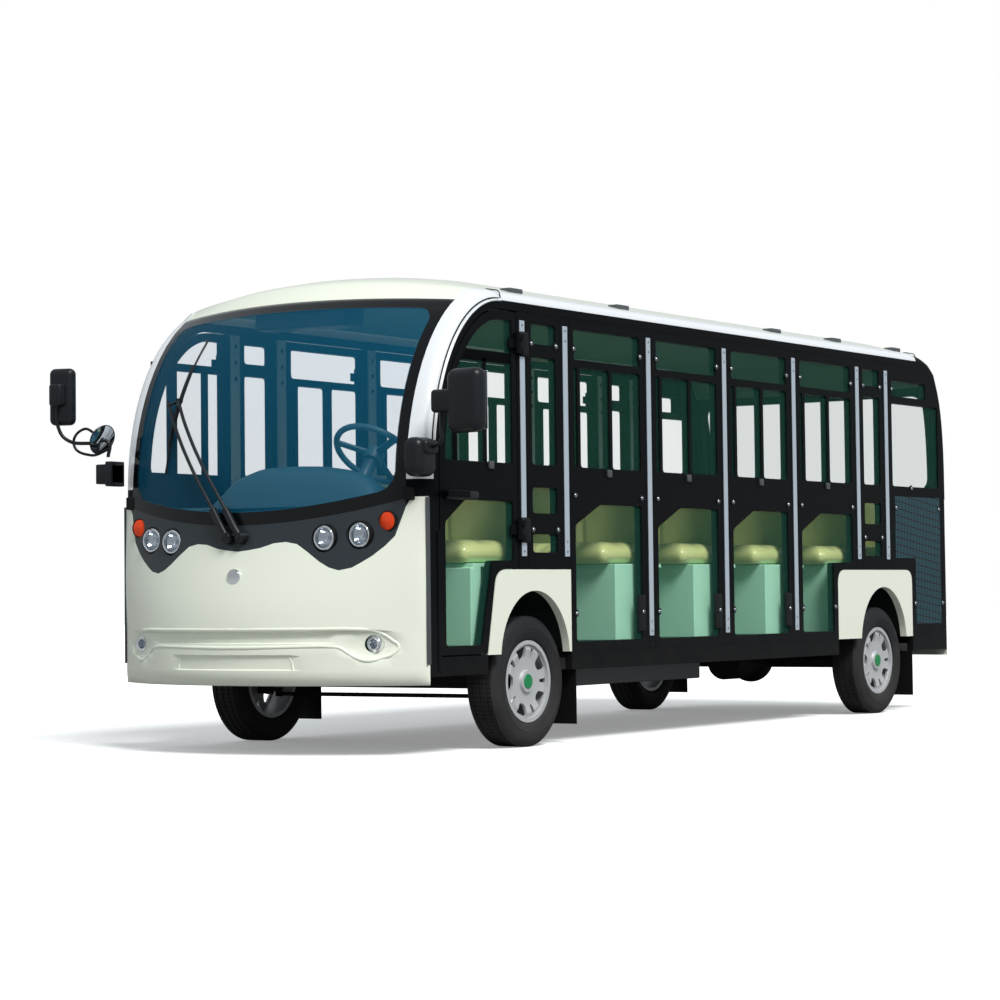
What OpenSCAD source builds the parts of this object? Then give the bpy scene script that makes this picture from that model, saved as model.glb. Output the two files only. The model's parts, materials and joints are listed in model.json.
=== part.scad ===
// Enclosed electric sightseeing bus: glazed side bays, bench rows, hinged side doors.
// Millimetres, +X forward, +Y left, +Z up, origin on the ground under the middle of the bus.

/* [Layout] */
// Front axle to the front of the bumper
front_overhang = 1160; // [1130:5:1240]
// Rear axle to the back of the rear shell
rear_overhang = 960; // [930:5:1040]
// Length of one wide seat bay, pillar to pillar
bay_pitch = 765.5; // [745:0.5:800]
// Length of each narrow bay over a wheel
narrow_bay = 367.5; // [355:0.5:385]
// Front axle back to the second pillar
axle_to_pillar = 273; // [265:1:285]
// Sixth pillar back to the rear axle
pillar_to_axle = 305; // [295:1:320]
// Width over the side walls
body_w = 1725; // [1700:5:1780]

/* [Heights] */
// Underside of the black side sill
sill_bottom_z = 345; // [335:1:360]
// Top of the side sill
sill_top_z = 430; // [420:1:440]
// Top of the floor
floor_z = 470; // [460:1:480]
// Top of the painted wheel arch panels
arch_top_z = 812; // [800:1:830]
// Underside of the header over the side bays
header_z = 1990; // [1970:1:2000]
// Underside of the silver roof rail
rail_z = 2030; // [2020:1:2040]
// Top of the silver roof rail
rail_top_z = 2087; // [2075:1:2100]
// Top of the roof crown
crown_z = 2210; // [2190:1:2260]

/* [Walls] */
// Thickness of the side walls and doors
wall_t = 40; // [32:1:44]
// Width of a side pillar
pillar_w = 80; // [70:1:90]
// Width of the silver strip on a pillar
strip_w = 40; // [30:1:50]
// Thickness of the silver strips and trims
strip_t = 5; // [3:0.5:8]
// Thickness of the moulded front and rear shells
shell_t = 20; // [14:1:26]
// Thickness of the windscreen and the rear window
screen_t = 8; // [6:1:12]
// Thickness of the side glass
pane_t = 6; // [4:1:8]
// Black border of a side panel round its glass
panel_border = 40; // [32:1:50]
// Gap round a hinged door
door_gap = 6; // [5:0.5:8]

/* [Front] */
// Lowest edge of the front cowl
cowl_z = 310; // [300:1:320]
// Front of the cowl back to its edge on the side wall
cowl_depth = 314; // [300:1:330]
// Width of the post between the cowl and the front door
post_w = 80; // [70:1:90]
// Height where the windscreen starts to lean back
lean_z = 1150; // [1140:1:1160]
// Setback of the windscreen foot from the bumper
foot_setback = 105; // [90:1:120]
// Plan radius of the bumper
bumper_r = 1377; // [1340:1:1500]
// Width of the rounded corners between the screens and the side walls
corner_w = 82.5; // [76:0.5:92]
// Height of the cowl's corners and of the arches' feet
corner_z = 1137; // [1130:1:1145]

/* [Wheels] */
// Distance from the outside of the wall to the middle of the tyre
wheel_inset = 117.5; // [114:0.5:124]
// Outside diameter of the tyres
tyre_d = 600; // [580:2:610]
// Width of the tyres
tyre_w = 175; // [165:1:185]
// Diameter of the rim's bead seat
rim_d = 356; // [350:1:362]
// Width of the rim between its edges
rim_w = 144; // [136:1:150]
// Diameter of the axle stub in the wheel hub
stub_d = 40; // [34:1:44]
// Radial running clearance of hubs, kingpins and hinge eyes
running_gap = 0.05; // [0.02:0.01:0.1]

/* [Steering] */
// Kingpin inboard of the middle of the tyre
kingpin_offset = 45; // [40:1:50]
// Diameter of the kingpin
kingpin_d = 24; // [20:1:28]
// Length of the steering arms
steer_arm = 85; // [80:1:90]
// Diameter of the steering wheel
steer_d = 400; // [360:5:420]
// Lean of the steering column from the vertical
steer_lean = 40; // [35:1:45]

/* [Seats] */
// Height of the seat trays above the ground
tray_z = 841; // [820:1:850]
// Depth of the bench boxes
bench_depth = 321; // [300:1:340]
// Pillar back to the front of its bench box
bench_setback = 530; // [510:1:545]
// Thickness of the bench cushions
cushion_h = 104; // [90:1:115]
// Depth of the bench cushions
cushion_depth = 440; // [420:5:450]
// Thickness of the backrests
back_t = 90; // [75:1:100]
// Top of the backrests
back_top_z = 1300; // [1250:5:1330]
// Soft gap between a cushion and its seat
soft_gap = 0.3; // [0.2:0.1:1]

/* [Hidden] */
$fn = 48;
bay_count = 4;
wheelbase = axle_to_pillar + bay_count * bay_pitch + pillar_to_axle;
body_len = front_overhang + wheelbase + rear_overhang;
front_x = body_len / 2;
rear_x = -body_len / 2;
front_axle_x = front_x - front_overhang;
rear_axle_x = rear_x + rear_overhang;
hw = body_w / 2;
screen_half_w = hw - corner_w;
track = body_w - 2 * wheel_inset;
wall_y = hw - wall_t;

// Pillars from the front: two at the front wheel, three along the bays, two at the rear wheel
pillar_2 = front_axle_x - axle_to_pillar;
pillar_xs = concat([pillar_2 + narrow_bay],
    [for (i = [0:bay_count]) pillar_2 - i * bay_pitch],
    [pillar_2 - bay_count * bay_pitch - narrow_bay]);
last_pillar = len(pillar_xs) - 1;

// Front corner
cowl_side_x = front_x - cowl_depth;
door_front_x = cowl_side_x - post_w - door_gap;
lean_x = front_x - 730;
lean_a = 730 - foot_setback;
lean_b = 965;
revolve_x = front_x - 2120;
screen_top_z = 2045;
screen_corner_drop = 25;
arch_foot_z = 1250;
arch_a = 541;
arch_b = rail_z - arch_foot_z;
header_h = rail_z - header_z;
arch_x = cowl_side_x - post_w + header_h - arch_a;

// Rear corner
rear_lean_z = 1230;
rear_arch_x = rear_x + 480;
rear_arch_a = 360;
rear_arch_b = rail_z - rear_lean_z;
rear_power = 3;
rear_plan_r = 4000;
window_top_z = 1900;

function clamp01(t) = min(1, max(0, t));
function smooth(t) = let (c = clamp01(t)) c * c * (3 - 2 * c);
function mix(a, b, t) = a + (b - a) * t;

// Front surface: the middle line leans back as a quarter ellipse, the plan is an arc
bulge_z = 520;
edge_round = 60;
function front_mid(z) = z > lean_z
    ? lean_x + lean_a * sqrt(max(0, 1 - pow((z - lean_z) / lean_b, 2)))
    : front_x - foot_setback * smooth((z - bulge_z) / (lean_z - bulge_z))
        - edge_round * (1 - sqrt(1 - pow(clamp01((cowl_z + edge_round - z) / (edge_round * 1.15)), 2)));
function front_r(z) = z > lean_z ? front_mid(z) - revolve_x
    : mix(bumper_r, front_x - foot_setback - revolve_x, smooth((z - bulge_z) / (lean_z - bulge_z)));
function front_at(z, y) = front_mid(z) - front_r(z) + sqrt(pow(front_r(z), 2) - y * y);

// Rear surface: upright below the window, then leaning forward on a power curve
function rear_mid(z) = z > rear_lean_z
    ? rear_arch_x - 480 * pow(max(0, 1 - pow((z - rear_lean_z) / (crown_z - 120 - rear_lean_z), rear_power)),
        1 / rear_power)
    : rear_x + edge_round * (1 - sqrt(1 - pow(clamp01((cowl_z + edge_round - z) / (edge_round * 1.15)), 2)));
function rear_at(z, y) = rear_mid(z) + rear_plan_r - sqrt(rear_plan_r * rear_plan_r - y * y);

// Roof surface over a point of the plan, rolling down to the two screens
roof_roll = 1000;
roof_side_roll = front_at(screen_top(screen_half_w), screen_half_w) - arch_x;
rear_roll = 430;
function screen_top(y) = screen_top_z - screen_corner_drop * pow(y / screen_half_w, 2);
function roof_front(y) = front_at(screen_top(y), y);
function roof_rear(y) = rear_at(window_top_z, y);
function roll(t, p) = pow(max(0, 1 - pow(1 - clamp01(t), p)), 1 / p);
function roof_full(y) = rail_top_z + (crown_z - rail_top_z) * (1 - pow(y / screen_half_w, 2));
function roof_at(x, y) = let (
        full = roof_full(y),
        span = mix(roof_roll, roof_side_roll, pow(y / screen_half_w, 2)))
    full - (full - screen_top(y)) * (1 - roll((roof_front(y) - x) / span, 2.3))
        - (full - window_top_z) * (1 - roll((x - roof_rear(y)) / rear_roll, 2.6));

// Closed skin between two like grids of points
function flat(rows) = [for (r = rows) each r];
function grid_faces(r, c, o, flip) = [for (i = [0:r - 2], j = [0:c - 2])
    let (a = o + i * c + j, b = a + 1, d = a + c, e = d + 1)
    each flip ? [[a, d, b], [b, d, e]] : [[a, b, d], [b, e, d]]];
function rim_loop(r, c) = concat([for (j = [0:c - 1]) j], [for (i = [1:r - 1]) i * c + c - 1],
    [for (j = [c - 2:-1:0]) (r - 1) * c + j], [for (i = [r - 2:-1:1]) i * c]);
function edge_faces(loop, o, flip) = [for (k = [0:len(loop) - 1])
    let (a = loop[k], b = loop[(k + 1) % len(loop)])
    each flip ? [[a, b, a + o], [b, b + o, a + o]] : [[a, a + o, b], [b, a + o, b + o]]];
module skin(outer, inner, flip = false) {
    r = len(outer);
    c = len(outer[0]);
    polyhedron(points = concat(flat(outer), flat(inner)), faces = concat(
        grid_faces(r, c, 0, flip), grid_faces(r, c, r * c, !flip),
        edge_faces(rim_loop(r, c), r * c, flip)));
}

// Closed sweep through a list of like sections
module sweep(sections, flip = false) {
    n = len(sections[0]);
    last = (len(sections) - 1) * n;
    sides = [for (i = [0:len(sections) - 2], j = [0:n - 1])
        let (a = i * n + j, b = i * n + (j + 1) % n)
        each flip ? [[a, a + n, b], [b, a + n, b + n]] : [[a, b, a + n], [b, b + n, a + n]]];
    caps = [for (j = [1:n - 2]) each flip ? [[0, j, j + 1], [last, last + j + 1, last + j]]
        : [[0, j + 1, j], [last, last + j, last + j + 1]]];
    polyhedron(points = flat(sections), faces = concat(sides, caps));
}

// Plane shapes
function fillet(pts, r, n = 3) = let (m = len(pts)) [for (i = [0:m - 1])
    let (p = pts[i], a = pts[(i + m - 1) % m], b = pts[(i + 1) % m],
        p0 = p + (a - p) / norm(a - p) * r, p2 = p + (b - p) / norm(b - p) * r)
    each [for (k = [0:n]) let (t = k / n) p0 * (1 - t) * (1 - t) + p * 2 * t * (1 - t) + p2 * t * t]];
function box2(x0, x1, z0, z1) = [[x0, z0], [x1, z0], [x1, z1], [x0, z1]];

// Lays a drawing of the XZ plane as a slab between two heights of Y
module side_slab(y0, y1) {
    translate([0, y1, 0]) rotate([90, 0, 0]) linear_extrude(y1 - y0) children();
}
module both_sides() {
    children();
    mirror([0, 1, 0]) children();
}
module block(x0, x1, y0, y1, z0, z1) {
    translate([x0, y0, z0]) cube([x1 - x0, y1 - y0, z1 - z0]);
}
module rod(a, b, r) {
    d = b - a;
    translate(a) rotate([0, acos(d[2] / norm(d)), atan2(d[1], d[0])]) cylinder(r = r, h = norm(d));
}

// Columns shared by the cowl, its mask, the windscreen and the roof, so that their edges meet
half_ys = [60, 120, 190, 250, 306, 360, 420, 467, 512, 567, 606, 650, 700, 740, 780];
half_count = len(half_ys);
column_scale = screen_half_w / half_ys[half_count - 1];
core_ys = concat([for (j = [half_count - 1:-1:0]) -half_ys[j] * column_scale], [0],
    [for (y = half_ys) y * column_scale]);

// Lower edge of the dark mask across the front: [distance from the middle, height]
mask_edge = [[0, 902], [105, 912], [190, 936], [247, 941], [306, 930], [360, 895], [420, 852], [467, 825],
    [512, 812], [567, 823], [636, 862], [690, 905], [738, 955], [765, 1005], [780, 1085]];
function mask_z(y) = lookup(abs(y) / column_scale, mask_edge);
function screen_foot(y) = 1018 + 102 * pow(y / screen_half_w, 2);

// Relief pressed into the bumper: a band with a deeper slot, an eye round each fog lamp, a number plate recess
band_zs = [480, 551];
band_half_w = 606;
band_depths = [2, 14];
slot_zs = [500, 541];
slot_half_w = 470;
slot_depth = 12;
eye_place = [650, 490];
eye_size = [112, 66];
eye_depth = 22;
plate_zs = [384, 442];
plate_half_w = 306;
plate_depth = 10;
relief_edge = 5;
function within(v, lo, hi) = v >= lo && v <= hi ? 1 : 0;
function band_press(z, y) = within(z, band_zs[0], band_zs[1]) * within(abs(y), 0, band_half_w)
        * mix(band_depths[0], band_depths[1], (z - band_zs[0]) / (band_zs[1] - band_zs[0]))
    + within(z, slot_zs[0], slot_zs[1]) * within(abs(y), 0, slot_half_w) * slot_depth;
function eye_press(z, y) = eye_depth * sqrt(max(0, 1 - pow((abs(y) - eye_place[0]) / eye_size[0], 2)
    - pow((z - eye_place[1]) / eye_size[1], 2)));
function pressed(z, y) = let (v = y / column_scale) max(band_press(z, v), eye_press(z, v))
    + within(z, plate_zs[0], plate_zs[1]) * within(abs(v), 0, plate_half_w) * plate_depth;

// Cowl
corner_steps = 5;
cowl_rows = 6;
relief_top_z = 640;
cowl_low_zs = concat([for (k = [0:4]) cowl_z + edge_round * (1 - cos(k * 22.5))],
    [plate_zs[0] - relief_edge, plate_zs[0], eye_place[1] - eye_size[1], plate_zs[1], plate_zs[1] + relief_edge,
        band_zs[0] - 2 * relief_edge, band_zs[0], slot_zs[0] - relief_edge, slot_zs[0],
        (slot_zs[0] + slot_zs[1]) / 2, slot_zs[1], slot_zs[1] + relief_edge, band_zs[1], band_zs[1] + relief_edge,
        band_zs[1] + 5 * relief_edge, relief_top_z]);
function corner_point(z, t, at, side_x, drop) = let (
        x0 = front_at(z, screen_half_w),
        slope = screen_half_w / sqrt(pow(front_r(z), 2) - screen_half_w * screen_half_w),
        y1 = hw - drop, x1 = x0 - slope * (y1 - screen_half_w),
        u = 1 - t)
    [u * u * x0 + 2 * u * t * x1 + t * t * side_x, u * u * screen_half_w + (2 * u * t + t * t) * y1, at];
function cowl_top(y) = abs(y) > screen_half_w ? corner_z : mask_z(y);
function cowl_row(k, drop) = let (
        column = function(y) k < len(cowl_low_zs) ? cowl_low_zs[k]
            : mix(relief_top_z, cowl_top(y), (k - len(cowl_low_zs) + 1) / cowl_rows))
    concat([for (i = [corner_steps:-1:1]) let (z = column(hw), p = corner_point(z, i / corner_steps, z,
            cowl_side_x, drop)) [p[0] - drop * (1 - i / corner_steps), -p[1], z]],
        [for (y = core_ys) let (z = column(y)) [front_at(z, y) - drop - (drop == 0 ? pressed(z, y) : 0), y, z]],
        [for (i = [1:corner_steps]) let (z = column(hw), p = corner_point(z, i / corner_steps, z,
            cowl_side_x, drop)) [p[0] - drop * (1 - i / corner_steps), p[1], z]]);
function cowl_grid(drop) = [for (k = [0:len(cowl_low_zs) + cowl_rows - 1]) cowl_row(k, drop)];

// Lamps on the front: [distance from the middle, height]
head_lamp_places = [[432, 954], [590, 965]];
head_lamp_r = 62;
head_lamp_depth = 60;
lamp_wall = 6;
turn_lamp_place = [705, 1024];
turn_lamp_r = 40;
turn_lamp_depth = 32;
fog_lamp_place = [658, 492];
fog_lamp_r = 38;
lamp_gap = 0.3;
module lamp_axis(place) {
    y = place[0] * column_scale;
    translate([front_at(place[1], y), y, place[1]]) rotate([0, 90, 0]) children();
}
lamp_reach = 200;
module front_cowl() color("ivory") resize([0, 0, 0]) difference() {
    skin(cowl_grid(0), cowl_grid(shell_t));
    both_sides() lamp_axis(fog_lamp_place) cylinder(r = fog_lamp_r + lamp_gap, h = lamp_reach, center = true);
}

mask_rows = 5;
function mask_grid(drop) = [for (k = [0:mask_rows]) [for (y = core_ys)
    let (z = mix(mask_z(y), screen_foot(y), k / mask_rows)) [front_at(z, y) - drop, y, z]]];
module cowl_mask() color("dimgray") difference() {
    skin(mask_grid(0), mask_grid(shell_t));
    both_sides() {
        for (place = head_lamp_places)
            lamp_axis(place) cylinder(r = head_lamp_r + lamp_gap, h = lamp_reach, center = true);
        lamp_axis(turn_lamp_place) cylinder(r = turn_lamp_r + lamp_gap, h = lamp_reach, center = true);
    }
}

screen_rows = 14;
function screen_grid(drop) = [for (k = [0:screen_rows]) [for (y = core_ys)
    let (z = mix(screen_foot(y), screen_top(y), k / screen_rows)) [front_at(z, y) - drop, y, z]]];
module windshield() color("lightblue", 0.5) skin(screen_grid(0), screen_grid(screen_t));

// Roof: stations crowd towards the two ends
roof_t = 20;
roof_steps = 26;
function roof_grid(drop) = [for (k = [0:roof_steps]) [for (y = core_ys)
    let (x = mix(roof_front(y), roof_rear(y), smooth(k / roof_steps) * 0.75 + k / roof_steps * 0.25),
        end = k == 0 ? -1 : k == roof_steps ? 1 : 0)
    [x + end * drop * 0.7, y, roof_at(x, y) - (end == 0 ? drop : 0)]]];
module roof_shell() color("ivory") skin(roof_grid(0), roof_grid(roof_t));

// Silver arches and rails share one rounded section from the wall up to the roof's edge
rail_in = 30;
rail_foot = wall_t;
function rail_section(b, f, inward) = let (k = b + (f - b) * 0.75)
    concat([for (i = [0:5]) let (t = i / 5, u = 1 - t)
        [u * u * b[0] + 2 * u * t * k[0] + t * t * f[0],
         (u * u + 2 * u * t) * hw + t * t * screen_half_w,
         u * u * b[1] + 2 * u * t * k[1] + t * t * f[1]]],
    [[f[0] + inward[0], screen_half_w, f[1] + inward[1]], [b[0], hw - rail_foot, b[1]]]);
arch_steps = 18;
arch_split = 70;
function arch_back(a) = [arch_x + arch_a * cos(a), arch_foot_z + arch_b * sin(a)];
function arch_front(a) = let (
        z = arch_foot_z + (screen_top(screen_half_w) - arch_foot_z) * sin(a) / sin(arch_split),
        x = roof_front(screen_half_w) - roof_side_roll * (a - arch_split) / (90 - arch_split))
    a <= arch_split ? [front_at(z, screen_half_w), z] : [x, roof_at(x, screen_half_w)];
module front_arch() sweep(concat(
    [rail_section([arch_x + arch_a, corner_z], [front_at(corner_z, screen_half_w), corner_z], [-rail_in, 0])],
    [for (i = [0:arch_steps]) let (a = 90 * i / arch_steps)
        rail_section(arch_back(a), arch_front(a), [-rail_in * cos(a), -rail_in * sin(a)])]));
module front_arches() color("silver") both_sides() front_arch();

module roof_rails() color("silver") both_sides() {
    section = [for (p = rail_section([0, rail_z], [0, rail_top_z], [0, -rail_in])) [p[1], p[2]]];
    translate([rear_arch_x, 0, 0]) rotate([90, 0, 90]) linear_extrude(arch_x - rear_arch_x) polygon(section);
}

// Rear corner posts, dark, from the shell up to the rails
function rear_back(a) = [rear_arch_x - rear_arch_a * pow(cos(a), 2 / rear_power),
    rear_lean_z + rear_arch_b * pow(sin(a), 2 / rear_power)];
function rear_front(a) = let (t = pow(sin(a), 2 / rear_power), z = mix(rear_lean_z, window_top_z, t * 1.15))
    z <= window_top_z ? [rear_at(z, screen_half_w), z]
    : let (x = mix(roof_rear(screen_half_w), rear_arch_x, smooth((t * 1.15 - 1) / 0.15)))
        [x, roof_at(x, screen_half_w)];
rear_steps = 14;
module rear_arch() sweep([for (i = [0:rear_steps]) let (a = 90 * i / rear_steps)
    rail_section(rear_back(a), rear_front(a), [rail_in * cos(a), -rail_in * sin(a)])], true);
module rear_arches() color("dimgray") both_sides() rear_arch();

// Side walls: header band, pillars, sill and arch panels
rear_inner = [for (i = [0:rear_steps]) let (p = rear_back(90 * i / rear_steps))
    [rear_arch_x + (p[0] - rear_arch_x) * (1 - header_h / rear_arch_a),
     rear_lean_z + (p[1] - rear_lean_z) * (1 - header_h / rear_arch_b)]];
function arch_inner(a, inset) = [arch_x + (arch_a - inset) * cos(a), arch_foot_z + (arch_b - inset) * sin(a)];
module header_band() polygon(concat(
    [[arch_x + arch_a, corner_z]],
    [for (i = [0:arch_steps]) arch_back(90 * i / arch_steps)],
    [for (i = [rear_steps:-1:0]) rear_back(90 * i / rear_steps)],
    rear_inner,
    [for (i = [arch_steps:-1:0]) arch_inner(90 * i / arch_steps, header_h)],
    [[arch_x + arch_a - header_h, corner_z]]));
module side_headers() color("black") both_sides() side_slab(wall_y, hw) header_band();

function pillar_foot(i) = i < 2 || i > last_pillar - 2 ? arch_top_z : sill_top_z;
module side_pillars() color("black") both_sides() {
    for (i = [0:last_pillar])
        block(pillar_xs[i] - pillar_w / 2, pillar_xs[i] + pillar_w / 2, wall_y, hw, pillar_foot(i), header_z);
    block(cowl_side_x - post_w, cowl_side_x, wall_y, hw, sill_bottom_z, corner_z);
    block(rear_arch_x - rear_arch_a, rear_arch_x - rear_arch_a + header_h, wall_y, hw, sill_top_z, rear_lean_z);
}

strip_clear = 60;
module pillar_strips() color("silver") both_sides() {
    for (i = [0:last_pillar])
        block(pillar_xs[i] - strip_w / 2, pillar_xs[i] + strip_w / 2, hw, hw + strip_t,
            pillar_foot(i) + strip_clear, header_z - strip_w);
    block(cowl_side_x - post_w, cowl_side_x - post_w + strip_w / 2, hw, hw + strip_t, sill_bottom_z + 25, 980);
}

// Wheel arch panels: outline and opening in the XZ plane
opening_a = 290;
opening_b = 315;
opening_z = 400;
front_reaches = [307, 316, 394];
rear_reaches = [573, 374];
front_panel_rear = front_axle_x - front_reaches[0];
front_panel_front = front_axle_x + front_reaches[1];
front_panel_foot = front_axle_x + front_reaches[2];
rear_panel_front = rear_axle_x + rear_reaches[0];
rear_panel_rear = rear_axle_x - rear_reaches[1];
arch_round = 75;
function shoulder(a, p, b, r, n = 5) = let (p0 = p + (a - p) / norm(a - p) * r, p2 = p + (b - p) / norm(b - p) * r)
    [for (k = [0:n]) let (t = k / n) p0 * (1 - t) * (1 - t) + p * 2 * t * (1 - t) + p2 * t * t];
function front_outline(g) = concat(
    [[front_panel_rear - g, sill_top_z - g], [front_panel_foot + g, sill_top_z - g]],
    shoulder([front_panel_foot + g, sill_top_z], [front_panel_front + g, arch_top_z + g],
        [front_panel_rear - g, arch_top_z + g], arch_round),
    [[front_panel_rear - g, arch_top_z + g]]);
function rear_outline(g) = concat(
    [[rear_panel_rear - g, sill_top_z - g], [rear_panel_front + g, sill_top_z - g]],
    shoulder([rear_panel_front + g, sill_top_z], [rear_panel_front + g, arch_top_z + g],
        [rear_panel_rear - g, arch_top_z + g], arch_round),
    shoulder([rear_panel_front + g, arch_top_z + g], [rear_panel_rear - g, arch_top_z + g],
        [rear_panel_rear - g, sill_top_z], arch_round));
module wheel_opening(x) polygon([for (i = [-2:34]) let (a = 180 * i / 32)
    [x + opening_a * cos(a), opening_z + opening_b * sin(a)]]);
module arch_panels() color("ivory") both_sides() side_slab(wall_y, hw) {
    difference() {
        polygon(front_outline(0));
        wheel_opening(front_axle_x);
    }
    difference() {
        polygon(rear_outline(0));
        wheel_opening(rear_axle_x);
    }
}

module side_sills() color("black") both_sides() {
    block(front_panel_foot, cowl_side_x - post_w, wall_y, hw, sill_bottom_z, sill_top_z);
    block(rear_panel_front, front_panel_rear, wall_y, hw, sill_bottom_z, sill_top_z);
    block(rear_arch_x - rear_arch_a, rear_panel_rear, wall_y, hw, sill_bottom_z, sill_top_z);
}

// Side panels: a black plate with glazed openings, fixed on the left and hinged on the right.
// Heights of the glazed rows: [bottom, top]
low_pane = [475, 1121];
slide_pane = [1293, 1765];
top_pane = [1800, 1945];
slide_jamb = 55;
mullion_w = 28;
pane_cut = [225, 100];
pane_round = 18;
function wide_panes(x0, x1) = let (a = x0 + panel_border, b = x1 - panel_border, s = b - slide_jamb, m = (a + s) / 2)
    [fillet(box2(a, b, top_pane[0], top_pane[1]), pane_round),
     fillet(box2(s + mullion_w, b, slide_pane[0], slide_pane[1]), pane_round / 2),
     fillet(box2(m + mullion_w / 2, s, slide_pane[0], slide_pane[1]), pane_round),
     fillet(box2(a, m - mullion_w / 2, slide_pane[0], slide_pane[1]), pane_round),
     fillet([[a, low_pane[0]], [b, low_pane[0]], [b, low_pane[1] - pane_cut[1]], [b - pane_cut[0], low_pane[1]],
         [a, low_pane[1]]], pane_round)];
function narrow_panes(x0, x1) = let (a = x0 + panel_border, b = x1 - panel_border)
    [fillet(box2(a, b, 1850, top_pane[1]), pane_round), fillet(box2(a, b, slide_pane[0], 1790), pane_round),
     fillet(box2(a, b, 1070, 1190), pane_round), fillet(box2(a, b, 890, 975), pane_round)];
module panes(list) for (p = list) polygon(p);

// Panel edges of each bay between its pillars, with a gap
function bay_front(i, g) = pillar_xs[i] - pillar_w / 2 - g;
function bay_rear(i, g) = pillar_xs[i + 1] + pillar_w / 2 + g;

module wide_plate(i, g) difference() {
    polygon(box2(bay_rear(i, g), bay_front(i, g), sill_top_z + g, header_z - g));
    if (i == bay_count) polygon(rear_outline(g));
    panes(i == bay_count ? last_panes(g) : wide_panes(bay_rear(i, g), bay_front(i, g)));
}
// The last wide bay's lower pane stops short of the rear arch panel
function last_panes(g) = let (x0 = bay_rear(bay_count, g), x1 = bay_front(bay_count, g),
        a = rear_panel_front + panel_border + 10, b = x1 - panel_border)
    concat([for (k = [0:3]) wide_panes(x0, x1)[k]],
        [fillet([[a, low_pane[0]], [b, low_pane[0]], [b, low_pane[1] - pane_cut[1]], [b - pane_cut[0], low_pane[1]],
            [x0 + panel_border, low_pane[1]], [x0 + panel_border, arch_top_z + panel_border],
            [a, arch_top_z + panel_border]], pane_round)]);
function wide_glass(i, g) = i == bay_count ? last_panes(g) : wide_panes(bay_rear(i, g), bay_front(i, g));
glass_y = hw - 12;
module glass(list) side_slab(glass_y, glass_y + pane_t) panes(list);

// Fixed windows of both sides: over the wheels and in the rear quarters
quarter_x = rear_arch_x - rear_arch_a + header_h;
quarter_front = pillar_xs[last_pillar] - pillar_w / 2;
function quarter_panes() = let (a = quarter_x + panel_border, b = quarter_front - panel_border)
    [fillet(box2(a, b, slide_pane[0], 1770), pane_round), fillet(box2(a + 160, b, 1810, 1900), pane_round)];
module quarter_plate() difference() {
    intersection() {
        polygon(box2(quarter_x - header_h, quarter_front, sill_top_z, header_z));
        polygon(concat([[quarter_front, header_z]], [for (i = [rear_steps:-1:0]) rear_inner[i]],
            [[quarter_x, sill_top_z], [quarter_front, sill_top_z]]));
    }
    polygon(rear_outline(0));
    panes(quarter_panes());
}
narrow_bays = [0, last_pillar - 1];
module fixed_panels() color("black") {
    both_sides() side_slab(wall_y, hw) {
        for (i = narrow_bays) difference() {
            polygon(box2(bay_rear(i, 0), bay_front(i, 0), arch_top_z, header_z));
            panes(narrow_panes(bay_rear(i, 0), bay_front(i, 0)));
        }
        quarter_plate();
    }
    side_slab(wall_y, hw) for (i = [1:bay_count]) wide_plate(i, 0);
}
module fixed_glass() color("seagreen", 0.5) {
    both_sides() {
        for (i = narrow_bays) glass(narrow_panes(bay_rear(i, 0), bay_front(i, 0)));
        glass(quarter_panes());
    }
    for (i = [1:bay_count]) glass(wide_glass(i, 0));
}

// Doors: each hangs at its rear edge on two outside hinges
hinge_zs = [991, 1841];
hinge_out = 14;
hinge_in = 10;
hinge_r = 12;
hinge_pin_r = 6;
hinge_half = 45;
eye_half = 21;
eye_gap = 0.5;
leaf_len = 60;
leaf_t = 9;
function door_rear(i) = bay_rear(i, door_gap);
function hinge_x(i) = door_rear(i) + hinge_in;
module hinge_leaf(x) for (z = hinge_zs) difference() {
    union() {
        translate([x, hw + hinge_out, z - eye_half]) cylinder(r = hinge_r, h = 2 * eye_half);
        block(x, x + leaf_len, hw, hw + leaf_t, z - eye_half, z + eye_half);
    }
    translate([x, hw + hinge_out, z]) cylinder(r = hinge_pin_r + running_gap, h = 100, center = true);
}
module hinge_block(x, pillar) for (z = hinge_zs) {
    translate([x, hw + hinge_out, z]) cylinder(r = hinge_pin_r, h = 2 * hinge_half, center = true);
    for (s = [-1, 1]) {
        z0 = s > 0 ? z + eye_half + eye_gap : z - hinge_half;
        h = hinge_half - eye_half - eye_gap;
        translate([x, hw + hinge_out, z0]) cylinder(r = hinge_r, h = h);
        block(pillar + strip_w / 2, pillar + pillar_w / 2, hw, hw + hinge_out + hinge_r, z0, z0 + h);
        block(pillar + strip_w / 2, x, hw + hinge_out - hinge_r, hw + hinge_out + hinge_r, z0, z0 + h);
    }
}
module door_hinges() color("black") {
    hinge_block(hinge_x(-1), pillar_xs[0]);
    mirror([0, 1, 0]) for (i = [-1, for (k = [1:bay_count]) k]) hinge_block(hinge_x(i), pillar_xs[i + 1]);
}

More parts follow.
